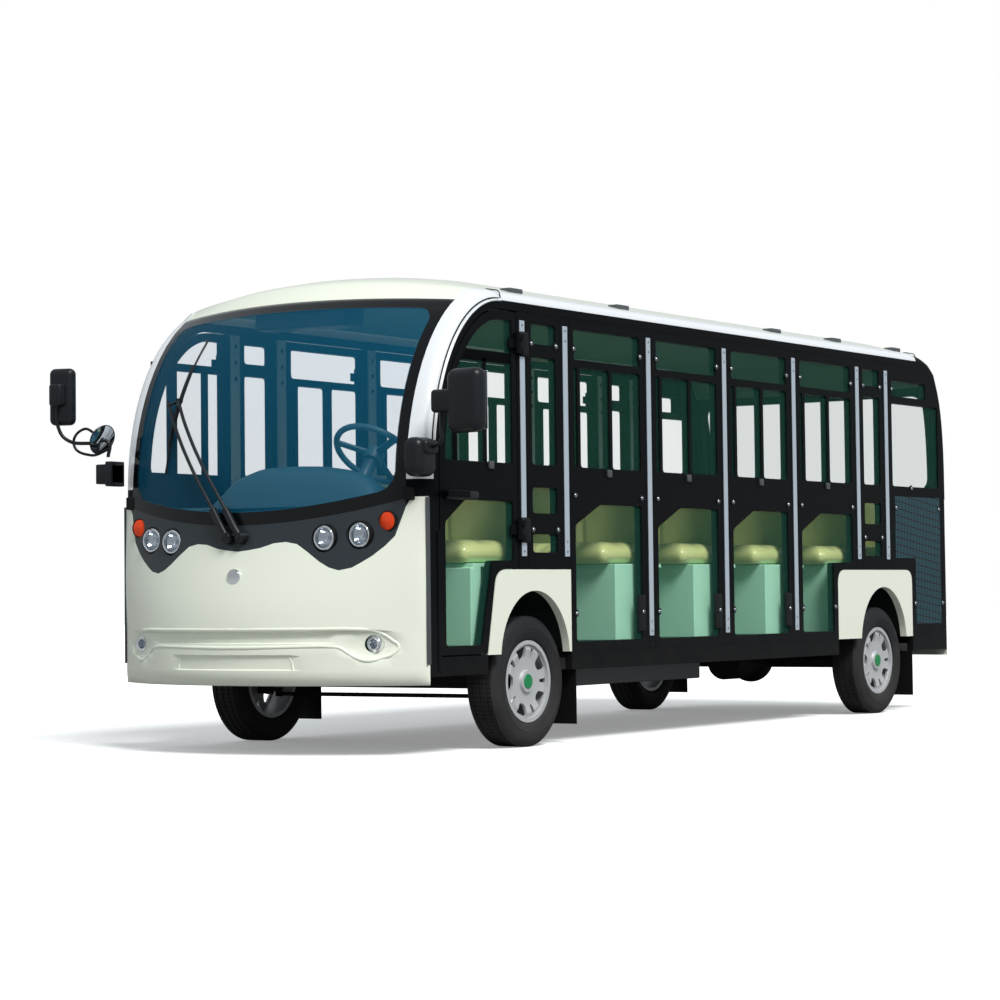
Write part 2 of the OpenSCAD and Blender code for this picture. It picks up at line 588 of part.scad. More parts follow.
// Front door: round at its upper front, cut round the arch panel at its lower rear
door_crown = header_h + door_gap;
function front_door_outline() = concat(
    [[door_rear(-1), sill_top_z + door_gap], [door_front_x, sill_top_z + door_gap]],
    [for (i = [0:arch_steps]) arch_inner(90 * i / arch_steps, door_crown)],
    [[door_rear(-1), header_z - door_gap]]);
function front_door_panes() = let (a = door_rear(-1) + panel_border, b = door_front_x - panel_border,
        k = door_crown + panel_border)
    [concat([[a, slide_pane[0]], [b - 10, slide_pane[0]]],
        [for (i = [1:arch_steps]) arch_inner(90 * i / arch_steps, k)],
        [[a, arch_foot_z + arch_b - k]]),
     fillet([[front_panel_foot + panel_border + 10, low_pane[0]], [b, low_pane[0]], [b, low_pane[1] - pane_cut[1]],
         [b - pane_cut[0] * 0.7, low_pane[1]], [a, low_pane[1]], [a, arch_top_z + panel_border],
         [front_panel_front + panel_border, arch_top_z + panel_border]], pane_round)];
module front_door_plate() difference() {
    polygon(front_door_outline());
    polygon(front_outline(door_gap));
    panes(front_door_panes());
}
handle_z = 1142;
handle_len = 170;
module door_handle(x) {
    for (e = [0, handle_len - 20]) block(x - e - 20, x - e, hw, hw + 22, handle_z - 12, handle_z + 12);
    block(x - handle_len, x, hw + 22, hw + 36, handle_z - 14, handle_z + 14);
}
module front_door_frame() {
    side_slab(wall_y, hw) front_door_plate();
    hinge_leaf(hinge_x(-1));
    door_handle(door_front_x - 15);
}
module bay_door_frame(i) {
    side_slab(wall_y, hw) wide_plate(i, door_gap);
    hinge_leaf(hinge_x(i));
    door_handle(bay_front(i, door_gap) - 12);
}
module driver_door_frame() color("black") front_door_frame();
module driver_door_glass() color("seagreen", 0.5) glass(front_door_panes());
module codriver_door_frame() color("black") mirror([0, 1, 0]) front_door_frame();
module codriver_door_glass() color("seagreen", 0.5) mirror([0, 1, 0]) glass(front_door_panes());
module row_door_frame(i) color("black") mirror([0, 1, 0]) bay_door_frame(i);
module row_door_glass(i) color("seagreen", 0.5) mirror([0, 1, 0]) glass(wide_glass(i, door_gap));

// Rear shell and window
rear_rows = 8;
function rear_corner(z, t, drop) = let (x0 = rear_at(z, screen_half_w) + drop, u = 1 - t,
        side_x = rear_arch_x - rear_arch_a, x1 = mix(x0, side_x, 0.9))
    [u * u * x0 + 2 * u * t * x1 + t * t * side_x, u * u * screen_half_w + (2 * u * t + t * t) * (hw - drop), z];
function rear_zs() = concat([for (k = [0:4]) cowl_z + edge_round * (1 - cos(k * 22.5))],
    [for (k = [1:rear_rows]) mix(cowl_z + edge_round, rear_lean_z, k / rear_rows)]);
function rear_grid(drop) = [for (z = rear_zs()) concat(
    [for (i = [corner_steps:-1:1]) let (p = rear_corner(z, i / corner_steps, drop)) [p[0], -p[1], z]],
    [for (y = core_ys) [rear_at(z, y) + drop, y, z]],
    [for (i = [1:corner_steps]) rear_corner(z, i / corner_steps, drop)])];
tail_lamp_zs = [620, 740, 860];
tail_lamp_y = 690 * column_scale;
tail_lamp_r = 45;
module tail_axis(z) translate([rear_at(z, tail_lamp_y), tail_lamp_y, z]) rotate([0, -90, 0]) children();
module rear_shell() color("ivory") difference() {
    skin(rear_grid(0), rear_grid(shell_t), true);
    both_sides() for (z = tail_lamp_zs) tail_axis(z) cylinder(r = tail_lamp_r + lamp_gap, h = 200, center = true);
}
window_rows = 8;
function window_grid(drop) = [for (k = [0:window_rows]) [for (y = core_ys)
    let (z = mix(rear_lean_z, window_top_z, k / window_rows)) [rear_at(z, y) + drop, y, z]]];
module rear_window() color("lightblue", 0.5) skin(window_grid(0), window_grid(screen_t), true);

// Lamps
module lamp_cup(r, depth, wall) difference() {
    cylinder(r = r, h = depth);
    translate([0, 0, wall * 2]) cylinder(r = r - wall, h = depth);
}
module head_lamps() color("silver") both_sides() for (place = head_lamp_places)
    lamp_axis(place) translate([0, 0, -head_lamp_depth]) lamp_cup(head_lamp_r, head_lamp_depth, lamp_wall);
module front_lenses() color("white", 0.6) both_sides() {
    for (place = head_lamp_places) lamp_axis(place) translate([0, 0, -30])
        cylinder(r = head_lamp_r - lamp_wall - lamp_gap, h = 14);
    lamp_axis(fog_lamp_place) translate([0, 0, -head_lamp_depth]) cylinder(r = fog_lamp_r, h = head_lamp_depth - 6);
}
module turn_lamps() color("orange") both_sides() lamp_axis(turn_lamp_place)
    translate([0, 0, -turn_lamp_depth]) cylinder(r = turn_lamp_r, h = turn_lamp_depth + 10);
module tail_lamps() color("red") both_sides() for (z = tail_lamp_zs)
    tail_axis(z) translate([0, 0, -50]) cylinder(r = tail_lamp_r, h = 60);

// Chassis
rail_y = 400;
rail_w = 60;
frame_top = floor_z - 25;
frame_h = 60;
frame_z = frame_top - frame_h;
cross_w = 60;
frame_front = cowl_side_x + 100;
frame_rear = rear_x + 200;
cross_insets = [200, 460, 500, 100];
cross_xs = [frame_front - cross_insets[0], front_axle_x - cross_insets[1], pillar_xs[3],
    rear_axle_x + cross_insets[2], frame_rear + cross_insets[3]];
outrigger_xs = [cowl_side_x - post_w / 2, pillar_xs[2], pillar_xs[3], pillar_xs[4], rear_panel_rear - 200];
// Tow tongue under the rear cross member, with an upright pin hole
tow_z = 270;
tow_t = 25;
tow_half_w = 40;
tow_reach = 150;
tow_bore_r = 15;
tow_drop_t = 30;
weld_gap = 0.3;
module tow_tongue() difference() {
    union() {
        block(frame_rear - tow_reach, frame_rear + cross_insets[3], -tow_half_w, tow_half_w, tow_z, tow_z + tow_t);
        block(frame_rear + cross_insets[3] - tow_drop_t, frame_rear + cross_insets[3], -tow_half_w, tow_half_w, tow_z,
            frame_z - weld_gap);
    }
    translate([frame_rear - tow_reach + tow_half_w, 0, tow_z - 1]) cylinder(r = tow_bore_r, h = tow_t + 2);
}
// Flat pads under the rails for a jack
jack_x = front_axle_x - 600;
jack_half = 55;
jack_pad_t = 8;
module chassis_frame() color("black") {
    tow_tongue();
    both_sides() {
        block(frame_rear, frame_front, rail_y - rail_w / 2, rail_y + rail_w / 2, frame_z, frame_top);
        for (x = outrigger_xs) block(x - cross_w / 2, x + cross_w / 2, rail_y + rail_w / 2 + weld_gap, wall_y,
            frame_z, frame_top);
        block(jack_x - jack_half, jack_x + jack_half, rail_y - rail_w / 2, rail_y + rail_w / 2,
            frame_z - weld_gap - jack_pad_t, frame_z - weld_gap);
    }
    for (x = cross_xs) block(x - cross_w / 2, x + cross_w / 2, -rail_y + rail_w / 2 + weld_gap,
        rail_y - rail_w / 2 - weld_gap, frame_z, frame_top);
}

floor_clear = 7;
housing_half = 345;
housing_y = track / 2 - 275;
housing_z = 735;
housing_t = 10;
module floor_deck() color("dimgray") translate([0, 0, frame_top]) linear_extrude(floor_z - frame_top) difference() {
    translate([rear_x + 120, floor_clear - wall_y]) square([cowl_side_x - rear_x - 120, 2 * (wall_y - floor_clear)]);
    for (x = [front_axle_x, rear_axle_x], s = [-1, 1])
        translate([x - housing_half, s > 0 ? housing_y : -wall_y - 1])
            square([2 * housing_half, wall_y + 1 - housing_y]);
}
module housing(x) difference() {
    block(x - housing_half, x + housing_half, housing_y, wall_y, frame_top, housing_z);
    block(x - housing_half + housing_t, x + housing_half - housing_t, housing_y + housing_t, wall_y + 1,
        frame_top - 1, housing_z - housing_t);
}
module wheel_housings() color("dimgray") both_sides() for (x = [front_axle_x, rear_axle_x]) housing(x);

battery_half = 850;
battery_half_w = 350;
battery_h = 150;
module battery_pack() color("gray") block(-battery_half + 150, battery_half + 150, -battery_half_w, battery_half_w,
    frame_z - battery_h, frame_z);

// Axles
wheel_y = track / 2;
axle_z = tyre_d / 2;
kingpin_y = wheel_y - kingpin_offset;
beam_w = 60;
beam_h = 70;
boss_r = 26;
boss_half = 44;
ear_h = 26;
module front_axle() color("dimgray") {
    difference() {
        block(front_axle_x - beam_w / 2, front_axle_x + beam_w / 2, -kingpin_y, kingpin_y,
            axle_z - beam_h / 2, axle_z + beam_h / 2);
        for (s = [-1, 1]) block(front_axle_x - beam_w, front_axle_x + beam_w, s * kingpin_y - 30, s * kingpin_y + 30,
            axle_z - beam_h, axle_z + beam_h);
    }
    for (s = [-1, 1]) translate([front_axle_x, s * kingpin_y, axle_z]) {
        cylinder(r = boss_r, h = 2 * boss_half, center = true);
        cylinder(d = kingpin_d, h = 2 * (boss_half + ear_h + 4), center = true);
        translate([-boss_r * 0.8, s > 0 ? -35 : 0, -beam_h / 2]) cube([boss_r * 1.6, 35, beam_h]);
    }
}
knuckle_gap = 1;
web_t = 14;
stub_end = wheel_y + 60;
module knuckle() difference() {
    union() {
        for (s = [-1, 1]) translate([front_axle_x, kingpin_y, axle_z + s * (boss_half + knuckle_gap + ear_h / 2)]) {
            cylinder(r = boss_r, h = ear_h, center = true);
            translate([-boss_r, 0, -ear_h / 2]) cube([2 * boss_r, boss_r + 6 + web_t, ear_h]);
        }
        block(front_axle_x - boss_r, front_axle_x + boss_r, kingpin_y + boss_r + 6, kingpin_y + boss_r + 6 + web_t,
            axle_z - boss_half - knuckle_gap - ear_h, axle_z + boss_half + knuckle_gap + ear_h);
        translate([front_axle_x, kingpin_y + boss_r + 6, axle_z]) rotate([-90, 0, 0])
            cylinder(d = stub_d, h = stub_end - kingpin_y - boss_r - 6);
        block(front_axle_x - steer_arm - 14, front_axle_x, kingpin_y - 14, kingpin_y + 14, arm_z, arm_z + 16);
    }
    translate([front_axle_x, kingpin_y, axle_z]) cylinder(r = kingpin_d / 2 + running_gap, h = 300, center = true);
}
arm_z = axle_z - boss_half - knuckle_gap - 16;
module left_knuckle() color("gray") knuckle();
module right_knuckle() color("gray") mirror([0, 1, 0]) knuckle();
tie_r = 10;
tie_eye_half = 13;
tie_z = arm_z - soft_gap - tie_eye_half;
module tie_rod() color("gray") {
    translate([front_axle_x - steer_arm, 0, tie_z]) rotate([90, 0, 0])
        cylinder(r = tie_r, h = 2 * kingpin_y, center = true);
    for (s = [-1, 1]) translate([front_axle_x - steer_arm, s * kingpin_y, tie_z])
        cylinder(r = 17, h = 2 * tie_eye_half, center = true);
}

tube_r = 42;
diff_r = 128;
motor_r = 105;
motor_len = 330;
module rear_axle() color("dimgray") {
    translate([rear_axle_x, 0, axle_z]) {
        rotate([90, 0, 0]) cylinder(r = tube_r, h = 2 * (wheel_y - 70), center = true);
        rotate([90, 0, 0]) cylinder(d = stub_d, h = 2 * stub_end, center = true);
        sphere(r = diff_r);
        rotate([0, 90, 0]) cylinder(r = motor_r, h = motor_len);
    }
}

// Springs: flat leaf packs over the axles, on pads, hung under the frame rails
spring_half = 430;
spring_w = 58;
leaf_spans = [1, 0.75, 0.5];
spring_leaf_t = 8;
spring_pad = 6;
spring_pad_half = 45;
hanger_half = 20;
front_seat_z = axle_z + beam_h / 2;
rear_seat_z = axle_z + tube_r;
module spring(x, seat) {
    top = seat + spring_pad + len(leaf_spans) * spring_leaf_t;
    y0 = rail_y - spring_w / 2;
    y1 = rail_y + spring_w / 2;
    for (k = [0:len(leaf_spans) - 1]) block(x - spring_half * leaf_spans[k], x + spring_half * leaf_spans[k],
        y0, y1, top - spring_leaf_t * (k + 1), top - spring_leaf_t * k);
    block(x - spring_pad_half, x + spring_pad_half, y0, y1, seat, top);
    for (e = [-1, 1]) let (h = x + e * (spring_half - hanger_half))
        block(h - hanger_half, h + hanger_half, y0, y1, top, frame_z);
}
module leaf_springs() color("dimgray") both_sides() {
    spring(front_axle_x, front_seat_z);
    spring(rear_axle_x, rear_seat_z);
}

// Wheels
tread_groove = [7, 6];
flange_h = 10;
function tyre_profile() = let (r0 = rim_d / 2 + soft_gap, r1 = tyre_d / 2, w = tyre_w / 2,
        rw = rim_w / 2 - 6 - soft_gap, rf = rim_d / 2 + flange_h + soft_gap)
    concat([[r0, -rw], [rf, -rw], [r0 + 30, -w + 2], [r0 + 55, -w], [r1 - 35, -w + 4], [r1 - 12, -w + 16],
            [r1, -w + 30]],
        [for (g = [-45, -15, 15, 45]) let (a = g - tread_groove[0] / 2, b = g + tread_groove[0] / 2)
            each [[r1, a], [r1 - tread_groove[1], a], [r1 - tread_groove[1], b], [r1, b]]],
        [[r1, w - 30], [r1 - 12, w - 16], [r1 - 35, w - 4], [r0 + 55, w], [r0 + 30, w - 2], [rf, rw], [r0, rw]]);
module spun(x, s) translate([x, s * wheel_y, axle_z]) rotate([-90 * s, 0, 0]) children();
module tyre(x, s) color("black") spun(x, s) rotate_extrude($fn = 64) polygon(tyre_profile());

barrel_t = 8;
hub_r = 34;
face_r = 168;
face_z = 52;
face_count = 5;
window_shape = fillet([[106, -22], [158, -44], [158, 44], [106, 22]], 17, 4);
slot_shape = fillet([[112, -6], [157, -13], [157, 13], [112, 6]], 4, 2);
function rim_profile() = let (r = rim_d / 2, w = rim_w / 2)
    [[r - barrel_t, -w], [r + flange_h, -w], [r + flange_h, -w + 5], [r, -w + 6], [r, w - 6], [r + flange_h, w - 5],
     [r + flange_h, w], [r - barrel_t, w]];
hub_foot = 5;
function face_profile() = [[stub_d / 2 + running_gap, hub_foot], [hub_r, hub_foot], [hub_r, face_z - 22],
    [face_r - 60, face_z - 8], [face_r - 20, face_z + 2], [rim_d / 2 - barrel_t, face_z - 4], [rim_d / 2 - barrel_t, face_z + 6],
    [face_r - 22, face_z + 14], [face_r - 60, face_z + 6], [hub_r + 20, face_z + 4], [hub_r + 14, face_z + 18],
    [stub_d / 2 + running_gap, face_z + 18]];
module rim(x, s) color("silver") spun(x, s) difference() {
    union() {
        rotate_extrude($fn = 64) polygon(rim_profile());
        rotate_extrude($fn = 64) polygon(face_profile());
    }
    for (i = [0:face_count - 1]) rotate(360 * i / face_count) linear_extrude(100) {
        polygon(window_shape);
        rotate(180 / face_count) polygon(slot_shape);
    }
}

flap_t = 6;
flap_z = 90;
flap_setback = 350;
module flap(x) block(x - flap_t, x, wheel_y - 100, hw - 8, flap_z, sill_bottom_z);
module mud_flaps() color("black") both_sides() {
    flap(front_axle_x - flap_setback);
    flap(rear_panel_rear);
}

// Seats: mint bench boxes with trays, vinyl cushions and backs across the whole cabin.
// Rows: [front of the box, depth of the box]
cabin_half = wall_y - 20;
row_fronts = [for (i = [1:bay_count]) pillar_xs[i] - bench_setback];
rear_row_front = rear_axle_x - housing_half - 10;
tray_t = 20;
tray_back = 110;
driver_front = front_axle_x + housing_half + 95;
seat_xs = concat([driver_front], row_fronts, [rear_row_front]);
last_row_depth = row_fronts[bay_count - 1] - (rear_axle_x + housing_half + 6);
function box_depth(i) = i == 0 ? 85 : i == bay_count ? last_row_depth : i > bay_count ? 205 : bench_depth;
function cushion_front(i) = i == 0 ? seat_xs[0] + 40 : i > bay_count ? seat_xs[i] + 200 : seat_xs[i] + 95;
function cushion_rear(i) = cushion_front(i) - cushion_depth;
module seat_boxes() color("aquamarine") for (i = [0:len(seat_xs) - 1]) {
    block(seat_xs[i] - box_depth(i), seat_xs[i], -cabin_half, cabin_half, floor_z, tray_z - tray_t);
    block(cushion_rear(i) - back_t - 10, min(seat_xs[i], cushion_front(i) - 60), -cabin_half, cabin_half,
        tray_z - tray_t, tray_z);
}
module seat_cushions() color("khaki") for (i = [0:len(seat_xs) - 1])
    block(cushion_rear(i) + 2, cushion_front(i), -cabin_half, cabin_half, tray_z + soft_gap, tray_z + cushion_h);
module seat_backs() color("khaki") for (i = [0:len(seat_xs) - 1])
    block(cushion_rear(i) - back_t, cushion_rear(i), -cabin_half, cabin_half, tray_z + soft_gap, back_top_z);

// Dash and steering
dash_arc = 1900;
module dashboard() color("dimgray") difference() {
    intersection() {
        rotate([90, 0, 0]) linear_extrude(2 * wall_y, center = true) polygon([
            [cowl_side_x - 60, 760], [cowl_side_x - 90, 960], [cowl_side_x - 100, 1040], [cowl_side_x - 60, 1100],
            [cowl_side_x, 1112], [cowl_side_x + 60, 1060], [cowl_side_x + 60, 960], [cowl_side_x, 900],
            [cowl_side_x, 760]]);
        translate([front_x - 150 - dash_arc, 0, 0]) cylinder(r = dash_arc, h = 2000, $fn = 120);
    }
    steer_axis() cylinder(r = column_r + soft_gap, h = column_len + soft_gap);
}
wheel_x = front_x - 530;
wheel_side = 420;
wheel_z = 1335;
column_len = 330;
column_r = 30;
shaft_r = 9;
module steer_axis() translate([wheel_x, wheel_side, wheel_z]) rotate([0, 180 - steer_lean, 0]) children();
module steering_column() color("dimgray") steer_axis() {
    translate([0, 0, 46]) cylinder(r = column_r, h = column_len - 46);
    translate([0, 0, 20]) cylinder(r = shaft_r, h = 60);
}
module steering_wheel() color("black") steer_axis() {
    difference() {
        union() {
            rotate_extrude($fn = 64) translate([steer_d / 2 - 14, 0]) circle(r = 14, $fn = 24);
            translate([0, 0, -10]) cylinder(r = 45, h = 54);
            for (a = [0, 120, 240]) rotate(a) translate([30, -16, -2]) cube([steer_d / 2 - 44, 32, 10]);
        }
        translate([0, 0, 20 - soft_gap]) cylinder(r = shaft_r + running_gap, h = 60);
    }
}

// Mirrors: a bracket on the arch foot, a bent arm and a rounded head
mirror_out = 257.5;
mirror_y = hw + mirror_out;
mirror_w = 190;
mirror_h = 280;
mirror_d = 90;
mirror_round = 45;
arm_r = 16;
module mirror_head(x, z) translate([x - mirror_d / 2, mirror_y, z]) rotate([90, 0, 90]) linear_extrude(mirror_d)
    polygon(fillet(box2(-mirror_w / 2, mirror_w / 2, -mirror_h / 2, mirror_h / 2), mirror_round, 4));
bracket_x = cowl_side_x - post_w + 4;
bracket_w = 76;
bracket_d = 56;
bracket_zs = [1160, 1240];
module mirror_set(x, z) {
    mirror_head(x, z);
    block(bracket_x, bracket_x + bracket_w, hw, hw + bracket_d, bracket_zs[0], bracket_zs[1]);
    foot = [bracket_x + bracket_w / 2, hw + bracket_d / 2, bracket_zs[1] - 30];
    elbow = foot + [0, 60, 190];
    rod(foot, elbow, arm_r);
    rod(mix(foot, elbow, 0.9), [x, mirror_y - 40, z - 20], arm_r - 3);
}
module side_mirrors() color("black") {
    mirror_set(front_x - 240, 1530);
    mirror([0, 1, 0]) mirror_set(front_x - 142, 1640);
}

// Wiper: a twin arm and one blade on the windscreen
wiper_out = 14;
hub_lift = 1.1;
function on_screen(v, z) = let (y = v * column_scale) [front_at(z, y) + wiper_out, y, z];
wiper_pivot = [20, 965];
wiper_clip = [-450, 1600];
blade_top = [-410, 1890];
blade_foot = [-497, 1265];
blade_steps = 6;
blade_r = 8;
wiper_arm_r = 9;
function blade_point(k) = let (p = mix(blade_foot, blade_top, k / blade_steps)) on_screen(p[0], p[1]);
module wipers() color("black") {
    clip = on_screen(wiper_clip[0], wiper_clip[1]);
    hub = on_screen(wiper_pivot[0], wiper_pivot[1]);
    hub_axis = [1, 0, (front_at(wiper_pivot[1] - 1, 0) - front_at(wiper_pivot[1] + 1, 0)) / 2];
    bend = hub + [40, -30, 120];
    rod(hub + hub_axis * (hub_lift - wiper_out), hub + hub_axis * 20, 18);
    rod(hub + [10, 0, 0], bend, wiper_arm_r);
    rod(bend, clip + [22, 0, 0], wiper_arm_r);
    translate(bend) sphere(r = wiper_arm_r + 2);
    translate(clip) rotate([0, 90, 0]) cylinder(r = 12, h = 32);
    for (k = [0:blade_steps - 1]) {
        rod(blade_point(k), blade_point(k + 1), blade_r);
        translate(blade_point(k)) sphere(r = blade_r + 1);
    }
}

chassis_frame();
floor_deck();
wheel_housings();
battery_pack();
front_axle();
rear_axle();
leaf_springs();
front_cowl();
cowl_mask();
windshield();
roof_shell();
front_arches();
roof_rails();
rear_arches();
side_headers();
side_pillars();
pillar_strips();
arch_panels();
side_sills();
fixed_panels();
fixed_glass();
door_hinges();
rear_shell();
rear_window();
head_lamps();
front_lenses();
turn_lamps();
tail_lamps();
mud_flaps();
seat_boxes();
seat_cushions();
seat_backs();
dashboard();
steering_column();
side_mirrors();
wipers();
steering_wheel();
left_knuckle();
right_knuckle();
tie_rod();
tyre(front_axle_x, 1);  // tyre_fl
rim(front_axle_x, 1);  // rim_fl
tyre(front_axle_x, -1);  // tyre_fr
rim(front_axle_x, -1);  // rim_fr
tyre(rear_axle_x, 1);  // tyre_rl
rim(rear_axle_x, 1);  // rim_rl
tyre(rear_axle_x, -1);  // tyre_rr
rim(rear_axle_x, -1);  // rim_rr
driver_door_frame();
driver_door_glass();
codriver_door_frame();
codriver_door_glass();
row_door_frame(1);  // row_door_frame_1
row_door_glass(1);  // row_door_glass_1
row_door_frame(2);  // row_door_frame_2
row_door_glass(2);  // row_door_glass_2
row_door_frame(3);  // row_door_frame_3
row_door_glass(3);  // row_door_glass_3
row_door_frame(4);  // row_door_frame_4
row_door_glass(4);  // row_door_glass_4
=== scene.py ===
import json
import math

import bmesh
import bpy
from bpy.props import FloatProperty, FloatVectorProperty, IntProperty, PointerProperty
from mathutils import Matrix, Vector
from mathutils.bvhtree import BVHTree

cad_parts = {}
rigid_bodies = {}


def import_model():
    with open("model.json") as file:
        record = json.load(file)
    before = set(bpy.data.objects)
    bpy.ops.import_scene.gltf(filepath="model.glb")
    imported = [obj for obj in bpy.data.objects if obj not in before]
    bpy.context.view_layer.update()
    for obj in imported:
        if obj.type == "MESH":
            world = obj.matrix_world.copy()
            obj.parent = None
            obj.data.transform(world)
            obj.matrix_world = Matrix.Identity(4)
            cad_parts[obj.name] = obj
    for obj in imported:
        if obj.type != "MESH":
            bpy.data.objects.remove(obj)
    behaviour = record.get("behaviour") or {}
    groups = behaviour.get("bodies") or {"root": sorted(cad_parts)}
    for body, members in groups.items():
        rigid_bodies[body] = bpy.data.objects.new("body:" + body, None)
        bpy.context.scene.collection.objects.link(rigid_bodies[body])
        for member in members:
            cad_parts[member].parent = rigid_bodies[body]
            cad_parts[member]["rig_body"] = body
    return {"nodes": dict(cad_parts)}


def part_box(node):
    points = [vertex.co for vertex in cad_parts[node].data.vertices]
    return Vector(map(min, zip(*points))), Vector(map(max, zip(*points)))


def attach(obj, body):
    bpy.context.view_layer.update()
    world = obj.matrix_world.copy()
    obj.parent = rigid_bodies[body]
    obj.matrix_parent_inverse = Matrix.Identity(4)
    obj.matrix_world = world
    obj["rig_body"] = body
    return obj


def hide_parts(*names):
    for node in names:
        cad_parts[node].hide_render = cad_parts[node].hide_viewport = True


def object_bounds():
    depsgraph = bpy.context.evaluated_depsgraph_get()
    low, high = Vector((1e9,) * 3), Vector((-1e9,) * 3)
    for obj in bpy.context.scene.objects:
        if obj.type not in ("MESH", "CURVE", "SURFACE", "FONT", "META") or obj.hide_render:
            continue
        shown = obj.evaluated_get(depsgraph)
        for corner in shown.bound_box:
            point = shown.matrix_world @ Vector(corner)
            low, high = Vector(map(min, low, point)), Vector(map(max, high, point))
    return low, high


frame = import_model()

bl_info = {
    "name": "Sightseeing Bus Dressing",
    "version": (1, 0, 0),
    "blender": (4, 5, 0),
    "location": "3D View > Sidebar > Bus",
    "description": "Dresses the frame of a closed sightseeing bus with its detailed pieces and finishes",
    "category": "Object",
}

NODES = frame["nodes"]
CAD_BOX = [list(corner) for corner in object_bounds()]
BODY = "bus_body"
WHEELS = ("fl", "fr", "rl", "rr")
ROW_DOORS = (1, 2, 3, 4)
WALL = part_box("side_sills")[1].y
STRIP_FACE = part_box("pillar_strips")[1].y
ARCH_FOOT = 1.205
FINISHES = {}


# Settings

def colour(label, text, default):
    return FloatVectorProperty(name=label, description=text, subtype="COLOR", size=3, min=0.0, max=1.0,
                               default=default)


def length(label, text, default):
    return FloatProperty(name=label, description=text, unit="LENGTH", min=0.0, default=default)


class BusPaint(bpy.types.PropertyGroup):
    """Colours of the bus"""
    cream: colour("Cream", "Paint of the cowl, roof, arch panels and tail", (0.83, 0.865, 0.735))
    mask: colour("Mask", "Dark grey panel round the head lamps", (0.024, 0.031, 0.037))
    black: colour("Black", "Steel frames, sills and door plates", (0.0040, 0.0048, 0.0060))
    silver: colour("Silver", "Roof rails, arches and pillar strips", (0.94, 0.965, 0.99))
    screen_tint: colour("Screen tint", "Windscreen and rear window", (0.012, 0.235, 0.43))
    side_tint: colour("Side tint", "Panes of the sides", (0.04, 0.30, 0.20))
    mint: colour("Mint", "Seat boxes", (0.43, 0.79, 0.57))
    vinyl: colour("Vinyl", "Seat cushions and backs", (0.62, 0.68, 0.27))
    dash: colour("Dash", "Dashboard and steering column", (0.020, 0.075, 0.105))
    lining: colour("Lining", "Inside of the roof", (0.17, 0.25, 0.21))
    # The dark ground of the rear quarter panes is painted shade of the cabin behind the glass.
    net: colour("Net", "Dark pane of the rear quarters", (0.006, 0.045, 0.060))
    amber: colour("Amber", "Turn lamps", (0.78, 0.055, 0.006))
    red: colour("Red", "Tail lamps", (0.60, 0.02, 0.02))
    hub_disc: colour("Hub disc", "Plain disc in the middle of the wheels", (0.01, 0.22, 0.07))
    wheel: colour("Wheel", "Painted wheel faces", (0.55, 0.56, 0.57))


class BusTrim(bpy.types.PropertyGroup):
    """Sizes of the trim"""
    edge_round: length("Edge round", "Rounding of the edges of the frames", 0.003)
    screen_side: length("Side border", "Black border at the sides of the windscreen", 0.046)
    screen_head: length("Head border", "Black border at the head of the windscreen", 0.048)
    screen_foot: length("Foot border", "Black border at the foot of the windscreen", 0.060)
    screen_round: length("Corner round", "Rounding of the clear part's corners", 0.070)
    bolt_r: length("Bolt radius", "Dome bolts beside the pillars", 0.011)
    screw_r: length("Screw radius", "Screws of the pillar strips", 0.006)
    badge_r: length("Boss radius", "Blank boss on the cowl", 0.036)
    tread_depth: length("Tread depth", "Depth of the grooves between tread blocks", 0.005)
    tread_blocks: IntProperty(name="Tread blocks", description="Tread blocks round a tyre", min=24, default=88)
    pad_swell: length("Pad swell", "How far the seat pads may swell", 0.022)
    voxel: length("Voxel", "Size of the voxels of the seat pads", 0.012)


class BusStage(bpy.types.PropertyGroup):
    """Light and floor"""
    world_light: FloatProperty(name="World light", description="Strength of the surrounding light",
                               default=0.50)
    sun_light: FloatProperty(name="Sun light", description="Strength of the sun", default=3.1)
    floor_glow: FloatProperty(name="Floor glow", description="Whiteness added to the floor", default=0.26)
    sky: colour("Sky", "Light from above", (0.90, 0.96, 1.0))
    ground: colour("Ground", "Light from below", (0.42, 0.42, 0.40))
    floor_r: length("Floor radius", "Radius of the floor", 60.0)


# Shader node groups

def group_of(name, inputs, outputs):
    tree = bpy.data.node_groups.new(name, "ShaderNodeTree")
    for label, kind, value in inputs:
        tree.interface.new_socket(label, in_out="INPUT", socket_type=kind).default_value = value
    for label, kind in outputs:
        tree.interface.new_socket(label, in_out="OUTPUT", socket_type=kind)
    return tree, tree.nodes.new("NodeGroupInput").outputs, tree.nodes.new("NodeGroupOutput").inputs


def put(tree, kind, **settings):
    node = tree.nodes.new(kind)
    for key, value in settings.items():
        setattr(node, key, value)
    return node


def feed(tree, value, socket):
    """Links a socket to a value, or sets it where the value is a plain number or colour."""
    if isinstance(value, bpy.types.NodeSocket):
        tree.links.new(value, socket)
    else:
        socket.default_value = (*value, 1.0) if socket.type == "RGBA" else value


def maths(tree, operation, a, b):
    node = put(tree, "ShaderNodeMath", operation=operation)
    feed(tree, a, node.inputs[0])
    feed(tree, b, node.inputs[1])
    return node.outputs[0]


def place_of(tree):
    return put(tree, "ShaderNodeTexCoord").outputs["Object"]


def split_place(tree, place):
    split = put(tree, "ShaderNodeSeparateXYZ")
    tree.links.new(place, split.inputs[0])
    return split.outputs


def noise(tree, scale, detail, place=None):
    node = put(tree, "ShaderNodeTexNoise")
    feed(tree, scale, node.inputs["Scale"])
    feed(tree, detail, node.inputs["Detail"])
    tree.links.new(place_of(tree) if place is None else place, node.inputs["Vector"])
    return node.outputs["Fac"]


